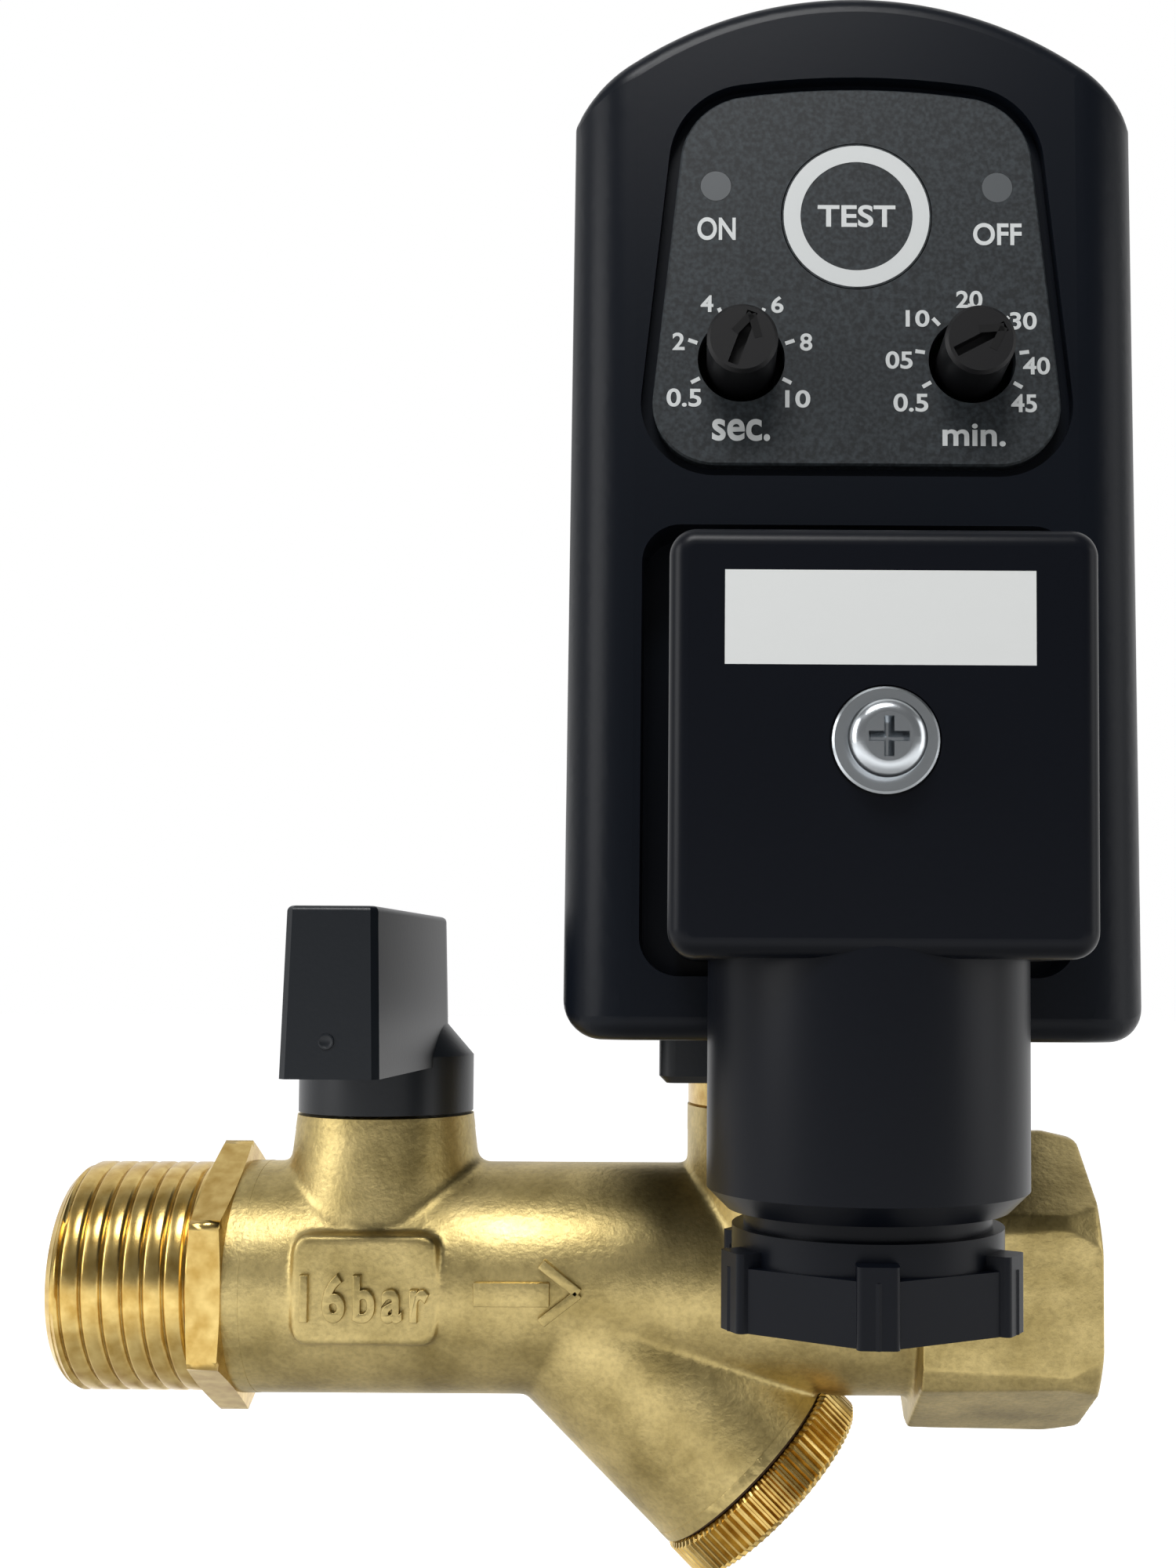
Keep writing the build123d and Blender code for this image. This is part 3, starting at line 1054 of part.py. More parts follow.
def blade_slots(clearance):
    """The three blades in front view, in the sketch that is being drawn."""
    for across, up, turn in BLADE_PLACES:
        with Locations(Location((across, up, 0), (0, 0, turn))):
            Rectangle(BLADE_THICKNESS + 2 * clearance, BLADE_WIDTH + 2 * clearance)


with BuildPart() as terminal_base:
    with BuildSketch(shifted(CONNECTOR_PLANE, POCKET_FLOOR)):
        Rectangle(TERMINAL_BASE_SIDE, TERMINAL_BASE_SIDE)
    extrude(amount=-TERMINAL_BASE_DEPTH)
    with BuildSketch(shifted(CONNECTOR_PLANE, POCKET_FLOOR)):
        Circle(SCREW_THREAD / 2 + PRESS_GAP)
    extrude(amount=-SCREW_REACH - PRESS_GAP, mode=Mode.SUBTRACT)
    with BuildSketch(shifted(CONNECTOR_PLANE, POCKET_FLOOR)) as slots:
        blade_slots(PRESS_GAP)
    extrude(amount=-TERMINAL_BASE_DEPTH, mode=Mode.SUBTRACT)
save(terminal_base, "terminal_base")

with BuildPart() as terminal_blades:
    with BuildSketch(shifted(CONNECTOR_PLANE, POCKET_FLOOR - TERMINAL_BASE_DEPTH)):
        blade_slots(0)
    extrude(amount=TERMINAL_BASE_DEPTH + BLADE_LENGTH)
save(terminal_blades, "terminal_blades")

with BuildPart() as connector_gasket:
    with BuildSketch(shifted(CONNECTOR_PLANE, POCKET_FLOOR + PRESS_GAP)):
        RectangleRounded(GASKET_SIDE, GASKET_SIDE, CONNECTOR_CORNER)
        Rectangle(BLADE_PITCH + 2.4, BLADE_PITCH + 2.4, mode=Mode.SUBTRACT)
    extrude(amount=GASKET_THICKNESS - 2 * PRESS_GAP)
save(connector_gasket, "connector_gasket")

with BuildPart() as connector_housing:
    with BuildSketch(shifted(CONNECTOR_PLANE, CONNECTOR_REAR)):
        RectangleRounded(CONNECTOR_SIDE, CONNECTOR_SIDE, CONNECTOR_CORNER)
    extrude(amount=CONNECTOR_FRONT - CONNECTOR_REAR)
    fillet(connector_housing.faces().sort_by(Axis.Y)[0].edges(), CONNECTOR_EDGE)
    # Round neck of the gland, hanging from the underside.
    with BuildSketch(shifted(GLAND_PLANE, GLAND_BOTTOM)):
        Circle(GLAND_DIAMETER / 2)
    extrude(amount=CONNECTOR_BOTTOM + CONNECTOR_WALL - GLAND_BOTTOM)
    chamfer(connector_housing.faces().sort_by(Axis.Z)[0].edges(), GLAND_CHAMFER)
    # Hollow for the insert and the wires.
    with BuildSketch(shifted(CONNECTOR_PLANE, CONNECTOR_REAR)):
        Rectangle(INSERT_SIDE + 2 * MOULD_GAP, INSERT_SIDE + 2 * MOULD_GAP)
    extrude(amount=CONNECTOR_FRONT - CONNECTOR_REAR - CONNECTOR_WALL, mode=Mode.SUBTRACT)
    # Threaded mouth of the gland and the narrower way into the hollow.
    with BuildSketch(shifted(GLAND_PLANE, GLAND_BOTTOM)):
        Circle(GLAND_THREAD_DIAMETER / 2)
    extrude(amount=GLAND_LEDGE - GLAND_BOTTOM, mode=Mode.SUBTRACT)
    with BuildSketch(shifted(GLAND_PLANE, GLAND_BOTTOM)):
        Circle(GLAND_THREAD_DIAMETER / 2 - 1.6)
    extrude(amount=CONNECTOR_BOTTOM + 2 * CONNECTOR_WALL - GLAND_BOTTOM, mode=Mode.SUBTRACT)
    # Hole and seat of the central screw.
    with BuildSketch(CONNECTOR_PLANE):
        Circle(SCREW_THREAD / 2 + MOULD_GAP)
    extrude(amount=CONNECTOR_FRONT, mode=Mode.SUBTRACT)
    with BuildSketch(shifted(CONNECTOR_PLANE, CONNECTOR_FRONT)):
        Circle(WASHER_DIAMETER / 2 + MOULD_GAP)
    extrude(amount=-WASHER_SUNK, mode=Mode.SUBTRACT)
save(connector_housing, "connector_housing")

with BuildPart() as connector_insert:
    with BuildSketch(shifted(CONNECTOR_PLANE, CONNECTOR_REAR)):
        RectangleRounded(INSERT_SIDE, INSERT_SIDE, 1.0)
        Circle(SCREW_THREAD / 2 + MOULD_GAP, mode=Mode.SUBTRACT)
    extrude(amount=INSERT_DEPTH)
    with BuildSketch(shifted(CONNECTOR_PLANE, CONNECTOR_REAR)):
        blade_slots(RUNNING_GAP)
    extrude(amount=INSERT_DEPTH - 1.0, mode=Mode.SUBTRACT)
save(connector_insert, "connector_insert")

WASHER_FACE = CONNECTOR_FRONT - WASHER_SUNK
HEAD_FACE = WASHER_FACE + WASHER_THICKNESS + PRESS_GAP
with BuildPart() as screw_washer:
    with BuildSketch(shifted(CONNECTOR_PLANE, WASHER_FACE)):
        Circle(WASHER_DIAMETER / 2)
        Circle(SCREW_THREAD / 2 + PRESS_GAP, mode=Mode.SUBTRACT)
    extrude(amount=WASHER_THICKNESS)
    chamfer(screw_washer.edges().group_by(SortBy.LENGTH)[-1], 0.15)
save(screw_washer, "screw_washer")

with BuildPart() as connector_screw:
    with BuildSketch(shifted(CONNECTOR_PLANE, HEAD_FACE)):
        Circle(SCREW_HEAD_DIAMETER / 2)
    extrude(amount=SCREW_HEAD_HEIGHT)
    fillet(connector_screw.faces().sort_by(Axis.Y)[0].edges(), SCREW_HEAD_HEIGHT * 0.6)
    with BuildSketch(shifted(CONNECTOR_PLANE, HEAD_FACE)):
        Circle(SCREW_THREAD / 2)
    extrude(amount=-(HEAD_FACE - POCKET_FLOOR + SCREW_REACH))
    with BuildSketch(shifted(CONNECTOR_PLANE, HEAD_FACE + SCREW_HEAD_HEIGHT)):
        Rectangle(SCREW_CROSS, SCREW_CROSS / 4)
        Rectangle(SCREW_CROSS / 4, SCREW_CROSS)
    extrude(amount=-SCREW_HEAD_HEIGHT * 0.7, taper=12, mode=Mode.SUBTRACT)
save(connector_screw, "connector_screw")

with BuildPart() as gland_nut:
    # Hexagon with a rounded lug on every corner, a collar and a threaded spigot.
    with BuildSketch(shifted(GLAND_PLANE, NUT_BOTTOM)):
        RegularPolygon(NUT_HEX_AF / 2, 6, major_radius=False, rotation=NUT_LUG_ANGLES[0])
    extrude(amount=NUT_COLLAR_BOTTOM - NUT_BOTTOM)
    with BuildSketch(shifted(GLAND_PLANE, NUT_BOTTOM)) as lugs:
        for angle in NUT_LUG_ANGLES:
            with Locations(Location((0, 0, 0), (0, 0, angle))):
                with Locations((NUT_LUG_DIAMETER / 2 - NUT_LUG_WIDTH / 2, 0)):
                    RectangleRounded(NUT_LUG_WIDTH, NUT_LUG_WIDTH, NUT_LUG_WIDTH * 0.15)
    extrude(amount=NUT_LUG_TOP - NUT_BOTTOM)
    with BuildSketch(shifted(GLAND_PLANE, NUT_BOTTOM)):
        Circle(NUT_COLLAR_DIAMETER / 2)
    extrude(amount=NUT_TOP - NUT_BOTTOM)
    with BuildSketch(shifted(GLAND_PLANE, NUT_TOP)):
        Circle(GLAND_THREAD_DIAMETER / 2 - PRESS_GAP)
    extrude(amount=NUT_THREAD_LENGTH)
    with Locations(shifted(GLAND_PLANE, NUT_BOTTOM)):
        Cylinder(
            CABLE_HOLE / 2,
            NUT_TOP + NUT_THREAD_LENGTH - NUT_BOTTOM,
            align=(Align.CENTER, Align.CENTER, Align.MIN),
            mode=Mode.SUBTRACT,
        )
    chamfer(gland_nut.edges().group_by(Axis.Z)[0].sort_by(SortBy.LENGTH)[-1], 0.8)
save(gland_nut, "gland_nut")

with BuildPart() as gland_ring:
    with BuildSketch(shifted(GLAND_PLANE, NUT_TOP + NUT_THREAD_LENGTH + PRESS_GAP)):
        Circle(GLAND_THREAD_DIAMETER / 2 - MOULD_GAP)
        Circle(CABLE_HOLE / 2, mode=Mode.SUBTRACT)
    extrude(amount=GLAND_RING_THICKNESS - PRESS_GAP)
save(gland_ring, "gland_ring")

with BuildPart() as gland_seal:
    with BuildSketch(shifted(GLAND_PLANE, GLAND_LEDGE - PRESS_GAP)):
        Circle(GLAND_THREAD_DIAMETER / 2 - PRESS_GAP)
        Circle(GLAND_SEAL_BORE / 2, mode=Mode.SUBTRACT)
    extrude(amount=-GLAND_SEAL_HEIGHT)
    fillet(gland_seal.edges().filter_by(GeomType.CIRCLE).group_by(SortBy.RADIUS)[0], 0.8)
save(gland_seal, "gland_seal")
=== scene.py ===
# %% [markdown]
# # Dressing a timed condensate drain valve
# The valve is a brass body with a timer head on top. Its solids come ready made and stay where
# they are, so this lesson adds only what the eye still misses: finishes, threads, knurling,
# raised casting marks and printing. Everything is measured in millimetres and turned to
# Blender's metres in one place.

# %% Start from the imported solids
import json
from math import cos, pi, radians, sin

import bmesh
import bpy
from mathutils import Matrix, Vector


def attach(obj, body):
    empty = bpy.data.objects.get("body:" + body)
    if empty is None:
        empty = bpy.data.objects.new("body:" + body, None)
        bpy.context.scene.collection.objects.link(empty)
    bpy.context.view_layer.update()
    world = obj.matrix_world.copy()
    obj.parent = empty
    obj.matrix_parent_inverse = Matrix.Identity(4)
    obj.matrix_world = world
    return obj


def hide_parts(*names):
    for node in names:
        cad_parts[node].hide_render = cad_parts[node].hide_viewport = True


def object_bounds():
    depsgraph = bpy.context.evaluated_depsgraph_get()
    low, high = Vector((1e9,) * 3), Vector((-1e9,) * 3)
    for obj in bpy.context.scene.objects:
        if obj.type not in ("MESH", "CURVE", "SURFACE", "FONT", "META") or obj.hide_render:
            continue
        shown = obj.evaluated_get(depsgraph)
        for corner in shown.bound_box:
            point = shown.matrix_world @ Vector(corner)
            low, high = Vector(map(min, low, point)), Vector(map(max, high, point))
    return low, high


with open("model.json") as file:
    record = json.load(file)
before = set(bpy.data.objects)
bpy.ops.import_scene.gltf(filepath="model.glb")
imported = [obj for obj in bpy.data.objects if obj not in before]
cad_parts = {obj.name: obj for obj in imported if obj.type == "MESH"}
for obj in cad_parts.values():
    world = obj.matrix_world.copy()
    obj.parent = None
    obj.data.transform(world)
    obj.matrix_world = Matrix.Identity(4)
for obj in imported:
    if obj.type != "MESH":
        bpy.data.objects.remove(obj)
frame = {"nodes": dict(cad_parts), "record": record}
solid_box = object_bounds()
MM = 0.001
print("solids", len(frame["nodes"]), "size mm", [round(v / MM, 2) for v in solid_box[1] - solid_box[0]])

# %% [markdown]
# ## Colours and nodes
# Finishes are written as the hex values a paint chart would give. Blender mixes light in linear
# values, so one function turns them. A second small function adds a node with its settings and
# links, which keeps every material short enough to read.

# %% One colour function and one node function


def linear(hex_colour):
    """sRGB hex to the linear values that shaders work in."""
    parts = [int(hex_colour[i:i + 2], 16) / 255 for i in (1, 3, 5)]
    return [p / 12.92 if p < 0.04045 else ((p + 0.055) / 1.055) ** 2.4 for p in parts] + [1.0]


def add(material, kind, settings=None, **inputs):
    """Adds a node. An input is a value, or another node's output socket."""
    tree = material.node_tree
    node = tree.nodes.new(kind)
    for name, value in (settings or {}).items():
        setattr(node, name, value)
    for name, value in inputs.items():
        socket = node.inputs[int(name[1:])] if name[1:].isdigit() else node.inputs[name.replace("_", " ")]
        if isinstance(value, bpy.types.NodeSocket):
            tree.links.new(value, socket)
        else:
            socket.default_value = value
    return node


def new_material(name):
    """An empty node material and its output node."""
    material = bpy.data.materials.new(name)
    material.use_nodes = True
    material.node_tree.nodes.clear()
    return material, add(material, "ShaderNodeOutputMaterial")


# %% [markdown]
# ## Cast brass
# The body is formed in a mould and left with a matt, blasted-looking skin of tiny dents, so the
# eye sees a warm olive yellow with a soft sheen rather than a mirror. Two sizes of noise are
# enough: half-millimetre dents, whose hollows are painted with shade up to a fifth darker, and
# stains some six millimetres wide where the skin is worn.

# %% Blasted brass
DENT, STAIN, DENT_DEPTH = 0.5, 6.0, 0.05
cast_brass, out = new_material("cast_brass_blasted")
spot = add(cast_brass, "ShaderNodeTexCoord").outputs["Object"]
stain = add(cast_brass, "ShaderNodeTexNoise", Vector=spot, Scale=1 / (STAIN * MM), Detail=4.0)
dents = add(cast_brass, "ShaderNodeTexNoise", Vector=spot, Scale=1 / (DENT * MM), Detail=3.0, Roughness=0.6)
worn = add(
    cast_brass, "ShaderNodeMapRange", Value=stain.outputs["Fac"],
    From_Min=0.3, From_Max=0.7, To_Min=0.0, To_Max=1.0,
)
tone = add(
    cast_brass, "ShaderNodeMix", {"data_type": "RGBA"},
    _0=worn.outputs["Result"], _6=linear("#9c8a57"), _7=linear("#d4bf84"),
)
# Painted shade: the colour is darkened by up to a fifth where the dents sink, as if shade lay in them.
shade = add(
    cast_brass, "ShaderNodeMapRange", Value=dents.outputs["Fac"],
    From_Min=0.3, From_Max=0.6, To_Min=0.80, To_Max=1.0,
)
dent_shaded = add(
    cast_brass, "ShaderNodeMix", {"data_type": "RGBA", "blend_type": "MULTIPLY"},
    _0=1.0, _6=tone.outputs[2], _7=shade.outputs["Result"],
)
relief = add(
    cast_brass, "ShaderNodeBump", Height=dents.outputs["Fac"], Distance=DENT_DEPTH * MM, Strength=0.8
)
brass_shader = add(
    cast_brass, "ShaderNodeBsdfPrincipled",
    Base_Color=dent_shaded.outputs[2], Metallic=1.0, Roughness=0.42, Normal=relief.outputs["Normal"],
)
cast_brass.node_tree.links.new(brass_shader.outputs[0], out.inputs[0])
print("made", cast_brass.name, "dents mm", DENT)

# %% [markdown]
# ## Turned brass
# The inlet end, the strainer cap and the tube flange are cut on a lathe. Turning leaves fine
# rings and a brighter, redder metal. The rings are too fine to draw, so a faint relief a
# millimetre and a half wide breaks the highlight up instead, as handling marks do.

# %% Bright turned brass
HANDLING = 1.6
turned_brass, out = new_material("turned_brass")
spot = add(turned_brass, "ShaderNodeTexCoord").outputs["Object"]
marks = add(turned_brass, "ShaderNodeTexNoise", Vector=spot, Scale=1 / (HANDLING * MM), Detail=3.0)
worn = add(turned_brass, "ShaderNodeMapRange", Value=marks.outputs["Fac"], From_Min=0.3, From_Max=0.7)
tone = add(
    turned_brass, "ShaderNodeMix", {"data_type": "RGBA"},
    _0=worn.outputs["Result"], _6=linear("#b8964f"), _7=linear("#dcc07a"),
)
relief = add(turned_brass, "ShaderNodeBump", Height=marks.outputs["Fac"], Distance=0.01 * MM, Strength=0.5)
shader = add(
    turned_brass, "ShaderNodeBsdfPrincipled",
    Base_Color=tone.outputs[2], Metallic=1.0, Roughness=0.24, Normal=relief.outputs["Normal"],
)
turned_brass.node_tree.links.new(shader.outputs[0], out.inputs[0])
print("made", turned_brass.name)

# %% [markdown]
# ## Black plastics
# The timer case is moulded ABS with a fine satin skin, the connector a smoother polyamide, and
# the lever a glass-filled nylon. All are nearly the same blue-black. They differ in how broad
# their highlights are, which is roughness, and in how much moulded grain breaks them up. The
# knobs are duller still, and rubber seals are the dullest of all.

# %% Satin, smooth and fibre-filled black


def black_plastic(name, colour, roughness, skin, depth, gloss):
    """A black plastic whose moulded skin has grains `skin` millimetres wide."""
    material, out = new_material(name)
    spot = add(material, "ShaderNodeTexCoord").outputs["Object"]
    grains = add(material, "ShaderNodeTexNoise", Vector=spot, Scale=1 / (skin * MM), Detail=2.0)
    relief = add(material, "ShaderNodeBump", Height=grains.outputs["Fac"], Distance=depth * MM, Strength=0.6)
    shader = add(
        material, "ShaderNodeBsdfPrincipled", Base_Color=linear(colour), Roughness=roughness,
        Specular_IOR_Level=gloss, Normal=relief.outputs["Normal"],
    )
    material.node_tree.links.new(shader.outputs[0], out.inputs[0])
    return material


case_abs = black_plastic("moulded_abs_satin", "#0b0f16", 0.34, 0.45, 0.008, 0.12)
connector_nylon = black_plastic("moulded_polyamide_smooth", "#090c13", 0.34, 0.60, 0.006, 0.14)
lever_nylon = black_plastic("glass_filled_nylon", "#12161b", 0.36, 0.35, 0.012, 0.35)
knob_plastic = black_plastic("moulded_knob_plastic", "#0c0c0e", 0.45, 0.30, 0.006, 0.25)
rubber = black_plastic("moulded_nitrile_rubber", "#0f0f0f", 0.65, 0.30, 0.010, 0.30)
print("made five blacks")

# %% [markdown]
# ## Printed panel film
# The front panel is a polycarbonate film printed charcoal on its back and given a fine matt
# grain. Its speckle is the grain catching the light, so it goes into colour as well as relief.

# %% Charcoal film and white print
FILM_GRAIN = 0.35
panel_film, out = new_material("printed_polycarbonate_film")
spot = add(panel_film, "ShaderNodeTexCoord").outputs["Object"]
grains = add(panel_film, "ShaderNodeTexNoise", Vector=spot, Scale=1 / (FILM_GRAIN * MM), Detail=1.0)
lit = add(panel_film, "ShaderNodeMapRange", Value=grains.outputs["Fac"], From_Min=0.35, From_Max=0.75)
speckle = add(
    panel_film, "ShaderNodeMix", {"data_type": "RGBA"},
    _0=lit.outputs["Result"], _6=linear("#14181b"), _7=linear("#2d3337"),
)
relief = add(panel_film, "ShaderNodeBump", Height=grains.outputs["Fac"], Distance=0.01 * MM, Strength=0.5)
shader = add(
    panel_film, "ShaderNodeBsdfPrincipled", Base_Color=speckle.outputs[2], Roughness=0.55,
    Specular_IOR_Level=0.3, Normal=relief.outputs["Normal"],
)
panel_film.node_tree.links.new(shader.outputs[0], out.inputs[0])


def plain(name, colour, roughness, metallic=0.0):
    """An even finish: one colour, one roughness."""
    material, out = new_material(name)
    shader = add(
        material, "ShaderNodeBsdfPrincipled",
        Base_Color=linear(colour), Roughness=roughness, Metallic=metallic,
    )
    material.node_tree.links.new(shader.outputs[0], out.inputs[0])
    return material


# Screen ink is a touch grey because the charcoal shows through it.
white_ink = plain("white_screen_ink", "#c4c7c7", 0.60)
# The label is a matt white vinyl, brighter than the ink beside it.
label_film = plain("white_label_film", "#d9dbda", 0.50)
# A smoked lens looks mid grey while its lamp is off.
lens = plain("smoked_led_lens", "#45494c", 0.45)
# The pointer is moulded into the knob and lies in its own shadow.
pointer_shadow = plain("shadowed_recess", "#020203", 1.0)
print("made film, ink, label and lens")

# %% [markdown]
# ## Metals and inner parts
# Most of these hide inside and show only when the valve is taken apart, so an even finish with
# its own colour and sheen is enough for each.

# %% Plated, drawn and moulded inner finishes
# Screws and the coil nut are zinc plated: pale, cool and rather bright.
zinc = plain("zinc_plated_steel", "#c3c8cc", 0.24, 1.0)
# Core, plunger, spring and screen are drawn stainless, a warmer and softer grey.
stainless = plain("drawn_stainless_steel", "#b9b8b4", 0.30, 1.0)
# The winding is enamelled wire, which turns copper redder and a little glossy.
copper = plain("enamelled_copper_wire", "#b0603a", 0.32, 1.0)
# Tinned contact blades are whiter than the screws.
tinned = plain("tinned_contact_blade", "#c9c9c4", 0.28, 1.0)
# The ball is chromed and polished, so it mirrors the bore it sits in.
chrome = plain("chromed_ball", "#d5d6d6", 0.08, 1.0)
# Its seats are machined PTFE, waxy and off-white.
ptfe = plain("machined_ptfe", "#eceae2", 0.45)
# The circuit board is glass laminate under green lacquer.
laminate = plain("lacquered_glass_laminate", "#1f5b34", 0.40)
# The cap's flat washer is vulcanised fibre, a dull red-brown that never shines.
fibre = plain("vulcanised_fibre_washer", "#4a3119", 0.70)
print("made eight inner finishes")

# %% [markdown]
# ## Dressing the solids
# The record names a material slot for each solid. One table of slot to finish dresses them all,
# and smooth shading by angle keeps cut edges crisp while round faces stay round.

# %% Finish by slot
FINISH = {
    "cast_brass": cast_brass, "turned_brass": turned_brass, "chrome_ball": chrome, "zinc_steel": zinc,
    "stainless": stainless, "copper": copper, "tinned_blade": tinned, "black_abs": case_abs,
    "connector_plastic": connector_nylon, "black_nylon": lever_nylon, "knob_plastic": knob_plastic,
    "panel_film": panel_film, "led_lens": lens, "board_laminate": laminate, "seal_rubber": rubber,
    "white_ptfe": ptfe,
}
SLOT_OF = {entry["node"]: entry["material_slot"] for entry in frame["record"]["subparts"]}
for name, solid in frame["nodes"].items():
    solid.data.materials.clear()
    solid.data.materials.append(fibre if name == "strainer_cap_seal" else FINISH[SLOT_OF[name]])
print("dressed", len(SLOT_OF), "solids")

# %% [markdown]
# ## A way to finish new pieces
# New pieces are shaped in millimetres about the part's own axes. This helper puts them in place,
# turns them to metres, mends their normals and hands them to the body they move with.

# %% Piece helper


def piece(name, mesh, finish, body, place=None, smooth=32.0, replaces=()):
    """Makes an object of a bmesh drawn in millimetres and fixes it to a moving body."""
    mesh.transform(Matrix.Scale(MM, 4) @ (place or Matrix()))
    bmesh.ops.recalc_face_normals(mesh, faces=mesh.faces)
    data = bpy.data.meshes.new(name)
    mesh.to_mesh(data)
    mesh.free()
    data.materials.append(finish)
    item = bpy.data.objects.new(name, data)
    bpy.context.scene.collection.objects.link(item)
    data.polygons.foreach_set("use_smooth", [True] * len(data.polygons))
    data.set_sharp_from_angle(angle=radians(smooth))
    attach(item, body)
    if replaces:
        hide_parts(*replaces)
    print(name, "faces", len(data.polygons))
    return item


def turned(points, axis, steps=96):
    """A closed lathe shape: a run of points joined by edges, spun once round an axis."""
    mesh = bmesh.new()
    verts = [mesh.verts.new(p) for p in points]
    edges = [mesh.edges.new(pair) for pair in zip(verts, verts[1:])]
    bmesh.ops.spin(
        mesh, geom=verts + edges, cent=(0, 0, 0), axis=axis, angle=2 * pi, steps=steps, use_merge=True
    )
    bmesh.ops.remove_doubles(mesh, verts=mesh.verts, dist=1e-4)
    return mesh


# %% [markdown]
# ## The male pipe thread
# A half-inch pipe thread has 14 turns to the inch, so its ridges stand 1.814 mm apart. Spinning
# a comb of ridges while it also moves one pitch along the axis makes one true helix, and cutting
# off both ends leaves them clean but open. The crests are flat and wide, and are pressed down to a cone at
# the start, as the real chamfer does.

# %% Inlet thread
PITCH = 25.4 / 14
THREAD_OUTSIDE = 20.81 / 2
THREAD_ROOT = THREAD_OUTSIDE - 0.35
THREAD_END = 12.72


def thread(start, end, root, crest):
    """A helical comb of flat-topped ridges round the X axis, open at both ends."""
    mesh = bmesh.new()
    turns = int((end - start) / PITCH) + 3
    points = []
    for turn in range(turns):
        x = start - 1.5 * PITCH + turn * PITCH
        points += [(x, root), (x + 0.05 * PITCH, root)]
        points += [(x + 0.17 * PITCH, crest - 0.06), (x + 0.26 * PITCH, crest)]
        points += [(x + 0.79 * PITCH, crest), (x + 0.88 * PITCH, crest - 0.06)]
    points.append((x + PITCH, root))
    verts = [mesh.verts.new((px, 0, pr)) for px, pr in points]
    edges = [mesh.edges.new(pair) for pair in zip(verts, verts[1:])]
    bmesh.ops.spin(
        mesh, geom=verts + edges, cent=(0, 0, 0), axis=(1, 0, 0),
        dvec=(PITCH / 96, 0, 0), angle=2 * pi, steps=96, use_merge=False,
    )
    bmesh.ops.remove_doubles(mesh, verts=mesh.verts, dist=1e-3)
    for x, side in ((start, -1), (end, 1)):
        bmesh.ops.bisect_plane(
            mesh, geom=mesh.verts[:] + mesh.edges[:] + mesh.faces[:],
            plane_co=(x, 0, 0), plane_no=(side, 0, 0), clear_outer=True,
        )
    return mesh


male = thread(0.0, THREAD_END, THREAD_ROOT, THREAD_OUTSIDE)
for vert in male.verts:
    around = Vector((0, vert.co.y, vert.co.z))
    limit = THREAD_ROOT - 0.6 + vert.co.x * 0.9
    if around.length > limit:
        vert.co -= around.normalized() * (around.length - limit)
print("thread reach mm", round(max(v.co.x for v in male.verts), 2))

# %% [markdown]
# ## The nipple behind the thread
# The solid nipple is a plain cylinder with a hexagon. A copy of it is cut off where the thread
# ends, and the thread with a turned core takes the place of the cylinder. The hexagon and the
# press-fit spigot stay as they are.

# %% Inlet nipple


def merged_copy(node):
    """A copy of a solid's mesh in millimetres, with its loose triangles joined."""
    mesh = bmesh.new()
    mesh.from_mesh(frame["nodes"][node].data)
    mesh.transform(Matrix.Scale(1 / MM, 4))
    bmesh.ops.remove_doubles(mesh, verts=mesh.verts, dist=1e-4)
    return mesh


nipple = merged_copy("inlet_nipple")
bmesh.ops.bisect_plane(
    nipple, geom=nipple.verts[:] + nipple.edges[:] + nipple.faces[:], dist=1e-5,
    plane_co=(THREAD_END, 0, 0), plane_no=(-1, 0, 0), clear_outer=True,
)
piece("nipple_hexagon", nipple, turned_brass, "valve", replaces=["inlet_nipple"])
piece("inlet_thread_ridges", male, turned_brass, "valve", smooth=50)
BORE = 5.25
core = turned(
    [
        (0.0, 0, THREAD_ROOT - 0.6), (0.0, 0, BORE + 0.5), (0.5, 0, BORE), (THREAD_END, 0, BORE),
        (THREAD_END, 0, THREAD_ROOT), (0.6, 0, THREAD_ROOT), (0.0, 0, THREAD_ROOT - 0.6),
    ],
    (1, 0, 0),
)
piece("nipple_core", core, turned_brass, "valve")

# %% [markdown]
# ## Softening the casting
# On a casting no two forms meet in a sharp line: the mould leaves a small radius everywhere.
# Rebuilding the body's surface out of tiny equal cells and smoothing them gives all those radii
# at once, which bevels on a tangle of meeting cylinders can't. Faces that a cutter has passed
# over stay crisp: the outlet hexagon is rebuilt finer, and the two upright sockets, the inlet
# face and the end of the strainer branch keep the solid's own edges.

# %% Valve body skin
BRANCH_FOOT, BRANCH_LENGTH = 45.3, 23.1
branch = Matrix.Translation((BRANCH_FOOT, 0, 0)) @ Matrix.Rotation(radians(135), 4, "Y")
HEX_START, MACHINED_FROM, INLET_FACE_TO, BRANCH_END_FROM = 76.65, 13.8, 17.2, 1.0
HEX_OVERLAP = 1.2             # how far the two rebuilt skins run past each other
BODY_CELL, HEX_CELL = 0.31, 0.25
SKIN = 0.03


def part_of_body(*cuts):
    """The body cut by planes, each a point and the side thrown away, and closed again."""
    mesh = merged_copy("valve_body")
    for point, away in cuts:
        cut = bmesh.ops.bisect_plane(
            mesh, geom=mesh.verts[:] + mesh.edges[:] + mesh.faces[:], dist=1e-4,
            plane_co=point, plane_no=away, clear_outer=True,
        )
        rim = [item for item in cut["geom_cut"] if isinstance(item, bmesh.types.BMEdge)]
        bmesh.ops.triangle_fill(mesh, edges=rim, use_beauty=True)
    return mesh


def swollen(mesh, by):
    """Moves a skin outward a hair, so that it covers the softened one beneath it."""
    for vert in mesh.verts:
        vert.co += vert.normal * by
    return mesh


